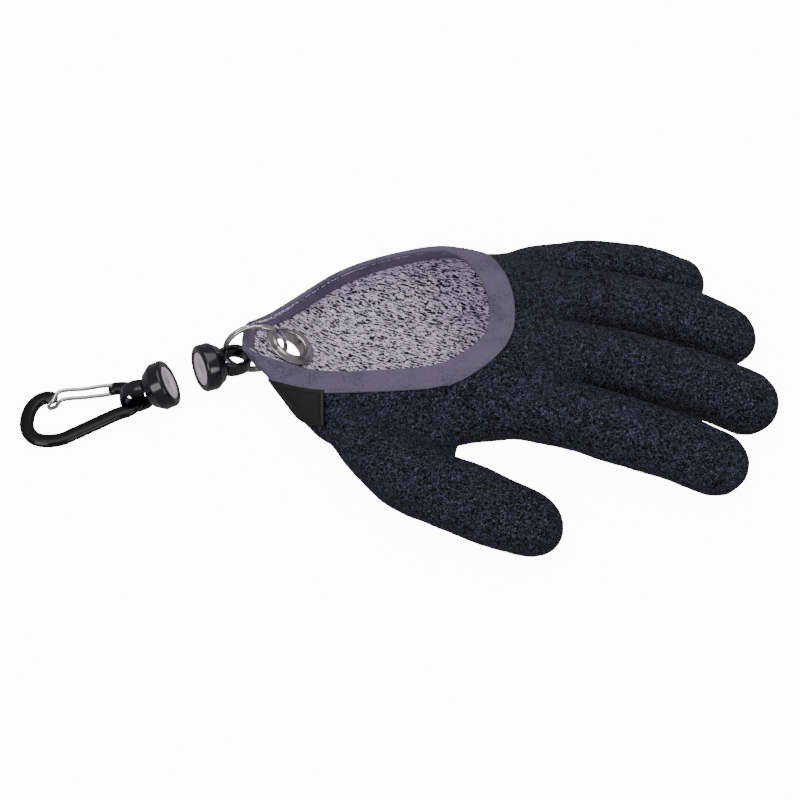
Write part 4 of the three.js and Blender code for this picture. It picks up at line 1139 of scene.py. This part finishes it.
def node(made, kind, inputs=None, **settings):
    """A new node with its settings and its inputs, each a value or an output to link."""
    new = made.node_tree.nodes.new(kind)
    for name, value in settings.items():
        setattr(new, name, value)
    for name, value in (inputs or {}).items():
        if isinstance(value, bpy.types.NodeSocket):
            made.node_tree.links.new(value, new.inputs[name])
        else:
            new.inputs[name].default_value = value
    return new


def into_shader(made, socket, output):
    """Links an output into the material's shader."""
    made.node_tree.links.new(output, made.node_tree.nodes["Principled BSDF"].inputs[socket])


def ramp(made, value, stops):
    """A colour ramp from (place, colour) pairs."""
    new = node(made, "ShaderNodeValToRGB", {"Fac": value})
    band = new.color_ramp
    while len(band.elements) < len(stops):
        band.elements.new(0.5)
    for element, (place, color) in zip(band.elements, stops):
        element.position = place
        element.color = (*color, 1)
    return new.outputs["Color"]


def relief(made, height, strength, distance):
    """A bump into the shader's normal: a height from 0 to 1 that stands for that distance in metres."""
    bump = node(made, "ShaderNodeBump", {"Height": height, "Strength": strength, "Distance": distance})
    into_shader(made, "Normal", bump.outputs["Normal"])


def noise(made, place, scale, detail, **more):
    """A noise's value at a place."""
    inputs = {"Vector": place, "Scale": scale, "Detail": detail, **more}
    return node(made, "ShaderNodeTexNoise", inputs).outputs["Fac"]


def math_step(made, operation, *values, **settings):
    """One step of arithmetic on values or outputs."""
    new = node(made, "ShaderNodeMath", dict(enumerate(values)), operation=operation, **settings)
    return new.outputs[0]


def object_place(made):
    """The place on the object, in metres."""
    return node(made, "ShaderNodeTexCoord").outputs["Object"]


# %% [markdown]
# The latex sets in fine wandering wrinkles, about a millimetre apart. Real relief that fine would need
# millions of faces, so a bump stands for it. The distance of a noise from its middle value is a net of
# thin creases, which gives the relief, and a colour with painted highlights on the crests and painted
# shade, darker than the latex itself, in the grooves.

# %% Latex
latex = material("crinkled_latex", (0.012, 0.012, 0.018), 0.6, Specular_IOR_Level=0.14)
crest = noise(latex, object_place(latex), 760.0, 2.0, Roughness=0.6, Distortion=1.1)
crease = math_step(latex, "ABSOLUTE", math_step(latex, "SUBTRACT", crest, 0.5))
depth = math_step(latex, "MULTIPLY", crease, 5.0)
# The ramp paints a highlight along the thin raised lines and paints shade between them.
into_shader(latex, "Base Color", ramp(latex, depth, [
    (0.0, (0.15, 0.145, 0.235)), (0.15, (0.024, 0.023, 0.042)),
    (0.36, (0.003, 0.003, 0.006)), (1.0, (0.0012, 0.0012, 0.0025))]))
relief(latex, math_step(latex, "SUBTRACT", 1.0, depth, use_clamp=True), 0.8, 0.0006)
print("latex:", len(latex.node_tree.nodes), "nodes")

# %% [markdown]
# The lining is a melange knit: pale yarn with dark flecks that lean along the stitches. Each loop
# could be modelled, but at this size only the flecks and the rows are seen. A noise that is squeezed
# across the flecks and cut off by a ramp gives flecks about 2 mm long, and a wave gives the rows.

# %% Knit
knit = material("melange_knit", (0.5, 0.48, 0.6), 0.95, Specular_IOR_Level=0.2, Sheen_Weight=0.15)
cloth_place = node(knit, "ShaderNodeUVMap", uv_map="cloth").outputs["UV"]
leaning = {"Vector": cloth_place, "Rotation": (0, 0, math.radians(20)), "Scale": (0.0024, 0.00074, 1.0)}
lean = node(knit, "ShaderNodeMapping", leaning, vector_type="TEXTURE").outputs["Vector"]
fleck = node(knit, "ShaderNodeTexNoise", {"Vector": lean, "Scale": 1.0, "Detail": 1.0, "Roughness": 0.5,
                                          "Distortion": 1.0}, noise_dimensions="2D").outputs["Fac"]
course = node(knit, "ShaderNodeSeparateXYZ", {"Vector": lean}).outputs["Y"]
rows = math_step(knit, "SINE", math_step(knit, "MULTIPLY", course, 3.3))
yarn = math_step(knit, "MULTIPLY_ADD", rows, 0.035, fleck)
into_shader(knit, "Base Color", ramp(knit, yarn, [
    (0.45, (0.014, 0.010, 0.020)), (0.475, (0.07, 0.055, 0.09)),
    (0.50, (0.77, 0.685, 0.98)), (0.60, (0.93, 0.84, 1.0))]))
relief(knit, yarn, 0.6, 0.0008)
print("knit:", len(knit.node_tree.nodes), "nodes")

# %% [markdown]
# The tape is a woven twill binding in mauve grey, a little uneven where it is folded. Its stitches
# are of a paler twisted thread, and the label is black and finely ribbed. Each has a fine noise for
# its weave, and the tape has a broad one besides, which makes it lighter and darker in soft patches.

# %% Tape, thread and label cloth
tape_cloth = material("mauve_tape", (0.15, 0.13, 0.19), 0.88, Sheen_Weight=0.1, Specular_IOR_Level=0.2)
place = object_place(tape_cloth)
# A broad noise makes the tape lighter and darker in soft patches; a fine one gives the weave.
broad_mottle, weave = noise(tape_cloth, place, 70.0, 3.0), noise(tape_cloth, place, 1400.0, 2.0)
mixed = math_step(tape_cloth, "ADD", broad_mottle, weave)
into_shader(tape_cloth, "Base Color", ramp(tape_cloth, mixed, [
    (0.76, (0.086, 0.072, 0.118)), (1.0, (0.140, 0.118, 0.184))]))
relief(tape_cloth, mixed, 0.35, 0.0008)
thread = material("pale_thread", (0.155, 0.14, 0.185), 0.85)
twist = noise(thread, object_place(thread), 2600.0, 1.0)
into_shader(thread, "Base Color", ramp(thread, twist, [
    (0.35, (0.12, 0.108, 0.145)), (0.65, (0.19, 0.172, 0.225))]))
relief(thread, twist, 0.4, 0.0002)
label_cloth = material("black_label", (0.004, 0.004, 0.006), 0.42, Specular_IOR_Level=0.5)
ribs = noise(label_cloth, object_place(label_cloth), 1800.0, 1.0)
into_shader(label_cloth, "Base Color", ramp(label_cloth, ribs, [
    (0.3, (0.003, 0.003, 0.004)), (0.75, (0.009, 0.009, 0.012))]))
relief(label_cloth, ribs, 0.3, 0.0002)
print("cloths:", ", ".join(cloth.name for cloth in (tape_cloth, thread, label_cloth)))

# %% [markdown]
# Metals and mouldings are smooth, with only faint wear: a slow noise that moves the roughness a
# little keeps their reflections from looking drawn.

# %% Metals and mouldings
def worn(name, color, roughness, metallic, spread=0.08, **sockets):
    """A smooth finish whose roughness wanders by a small spread."""
    made = material(name, color, roughness, metallic, **sockets)
    span = {"Value": noise(made, object_place(made), 240.0, 3.0), "To Min": roughness - spread / 2,
            "To Max": roughness + spread / 2}
    into_shader(made, "Roughness", node(made, "ShaderNodeMapRange", span).outputs["Result"])
    return made


eyelet_metal = worn("eyelet_metal", (0.55, 0.50, 0.50), 0.24, 1.0)
steel = worn("polished_steel", (0.66, 0.63, 0.65), 0.16, 1.0, 0.05)
plastic = worn("black_moulding", (0.005, 0.0045, 0.009), 0.2, 0.0, 0.06, Coat_Weight=0.35)
nickel = worn("nickel_disc", (0.84, 0.78, 0.87), 0.45, 0.15, 0.1)
anodised = worn("black_anodised", (0.002, 0.002, 0.0035), 0.2, 0.0, 0.05, Specular_IOR_Level=0.22,
                Coat_Weight=0.22)
print("finishes:", ", ".join(made.name for made in (eyelet_metal, steel, plastic, nickel, anodised)))

# %% [markdown]
# Now each shape meets its material and takes the place of its plain CAD parts. One coat stands in
# for the palm and all five fingers, because the real coat is one skin. Everything rides on the glove,
# apart from the wire gate, which turns on its own body.

# %% Dress the frame
place_piece(coat, latex, ["palm_coat", *[f"{name}_coat" for name in FINGERS]])
place_piece(liner, knit, ["knit_liner"])
place_piece(mesh_piece("rim_tape", tape_points, tape_faces), tape_cloth, ["edge_binding"])
place_piece(mesh_piece("tape_stitches", bead_points, bead_faces), thread)
place_piece(mesh_piece("wrist_label", label_points, label_faces), label_cloth,
            ["side_label"])
place_piece(mesh_piece("tongue_eyelet", placed(eyelet_points, EYELET), eyelet_faces), eyelet_metal,
            ["eyelet"])
place_piece(mesh_piece("key_ring", placed(ring_points, RING), ring_faces), steel,
            ["split_ring"])
for name, holder, upright in (("glove", GLOVE_HOLDER, False), ("clip", CLIP_HOLDER, True)):
    points, faces = holder_shape(upright)
    place_piece(mesh_piece(f"{name}_holder", placed(points, holder), faces, 14), plastic,
                [f"{name}_magnet_cup"])
    points, faces = magnet_shape()
    place_piece(mesh_piece(f"{name}_disc", placed(points, holder), faces), nickel,
                [f"{name}_magnet"])
place_piece(mesh_piece("clip_bar", placed(bar_points, CLIP), bar_faces, 9), anodised,
            ["carabiner_body"])
place_piece(mesh_piece("clip_gate", placed(gate_points, CLIP), gate_faces), steel,
            ["carabiner_gate"], body="gate")

# %% [markdown]
# The glove stands on a plain white table that glows faintly, as the lit tables of catalogue pictures
# do, so it takes hardly any shadow. A broad soft light from overhead leaves the glossy black parts
# dark, with bright edges, and a dimmer even world fills in from the sides.

# %% The table
TABLE_REACH, TABLE_DROP = 30.0, 0.0004   # metres: its half side, and how far it lies below the glove
corners = [(x * TABLE_REACH, y * TABLE_REACH, -TABLE_DROP)
           for x, y in ((-1, -1), (1, -1), (1, 1), (-1, 1))]
table_mesh = bpy.data.meshes.new("table")
table_mesh.from_pydata(corners, [], [(0, 1, 2, 3)])
table_mesh.materials.append(material("white_table", (0.9, 0.9, 0.9), 0.9, Specular_IOR_Level=0.1,
                                     Emission_Strength=12.0, Emission_Color=(1, 1, 1, 1)))
table = bpy.data.objects.new("table", table_mesh)
bpy.context.scene.collection.objects.link(table)
table.visible_diffuse = table.visible_glossy = False
print("the table lies", TABLE_DROP / MM, "mm below the glove")

# %% Lamps and world
def soft_lamp(name, direction, spread, power):
    """A far light that comes from a direction and is spread over a cone of that angle."""
    lamp = bpy.data.lights.new(name, "SUN")
    lamp.angle = math.radians(spread)
    lamp.energy = power
    piece = bpy.data.objects.new(name, lamp)
    piece.rotation_euler = Vector(direction).to_track_quat("Z", "Y").to_euler()
    bpy.context.scene.collection.objects.link(piece)


soft_lamp("overhead", (0, 0.05, 1), 62, 1.5)
soft_lamp("front left", (-0.7, -1, 0.75), 30, 0.8)
soft_lamp("front right", (0.9, -1, 0.6), 24, 0.55)
world = bpy.data.worlds.new("tent")
world.use_nodes = True
world.node_tree.nodes["Background"].inputs["Color"].default_value = (1, 1, 1, 1)
world.node_tree.nodes["Background"].inputs["Strength"].default_value = 0.3
bpy.context.scene.world = world
print("lamps:", ", ".join(lamp.name for lamp in bpy.data.lights))

# %% [markdown]
# The photograph looks down on the glove from the front. The camera aims at the palm's point from
# 900 mm away, and its lens makes a millimetre there 2.4 pixels wide in a picture of 800.

# %% The camera
ELEVATION, DISTANCE, LENS, SENSOR = math.radians(48), 900.0, 97.2, 36.0
eye = DISTANCE * np.array([0, -math.cos(ELEVATION), math.sin(ELEVATION)])
camera = bpy.data.cameras.new("camera")
camera.lens, camera.sensor_width = LENS, SENSOR
viewer = bpy.data.objects.new("camera", camera)
viewer.location = Vector(to_frame(eye))
viewer.rotation_euler = (Vector(to_frame(np.zeros(3))) - viewer.location).to_track_quat("-Z", "Y").to_euler()
bpy.context.scene.collection.objects.link(viewer)
bpy.context.scene.camera = viewer
print("the camera stands at", [round(value, 3) for value in viewer.location])
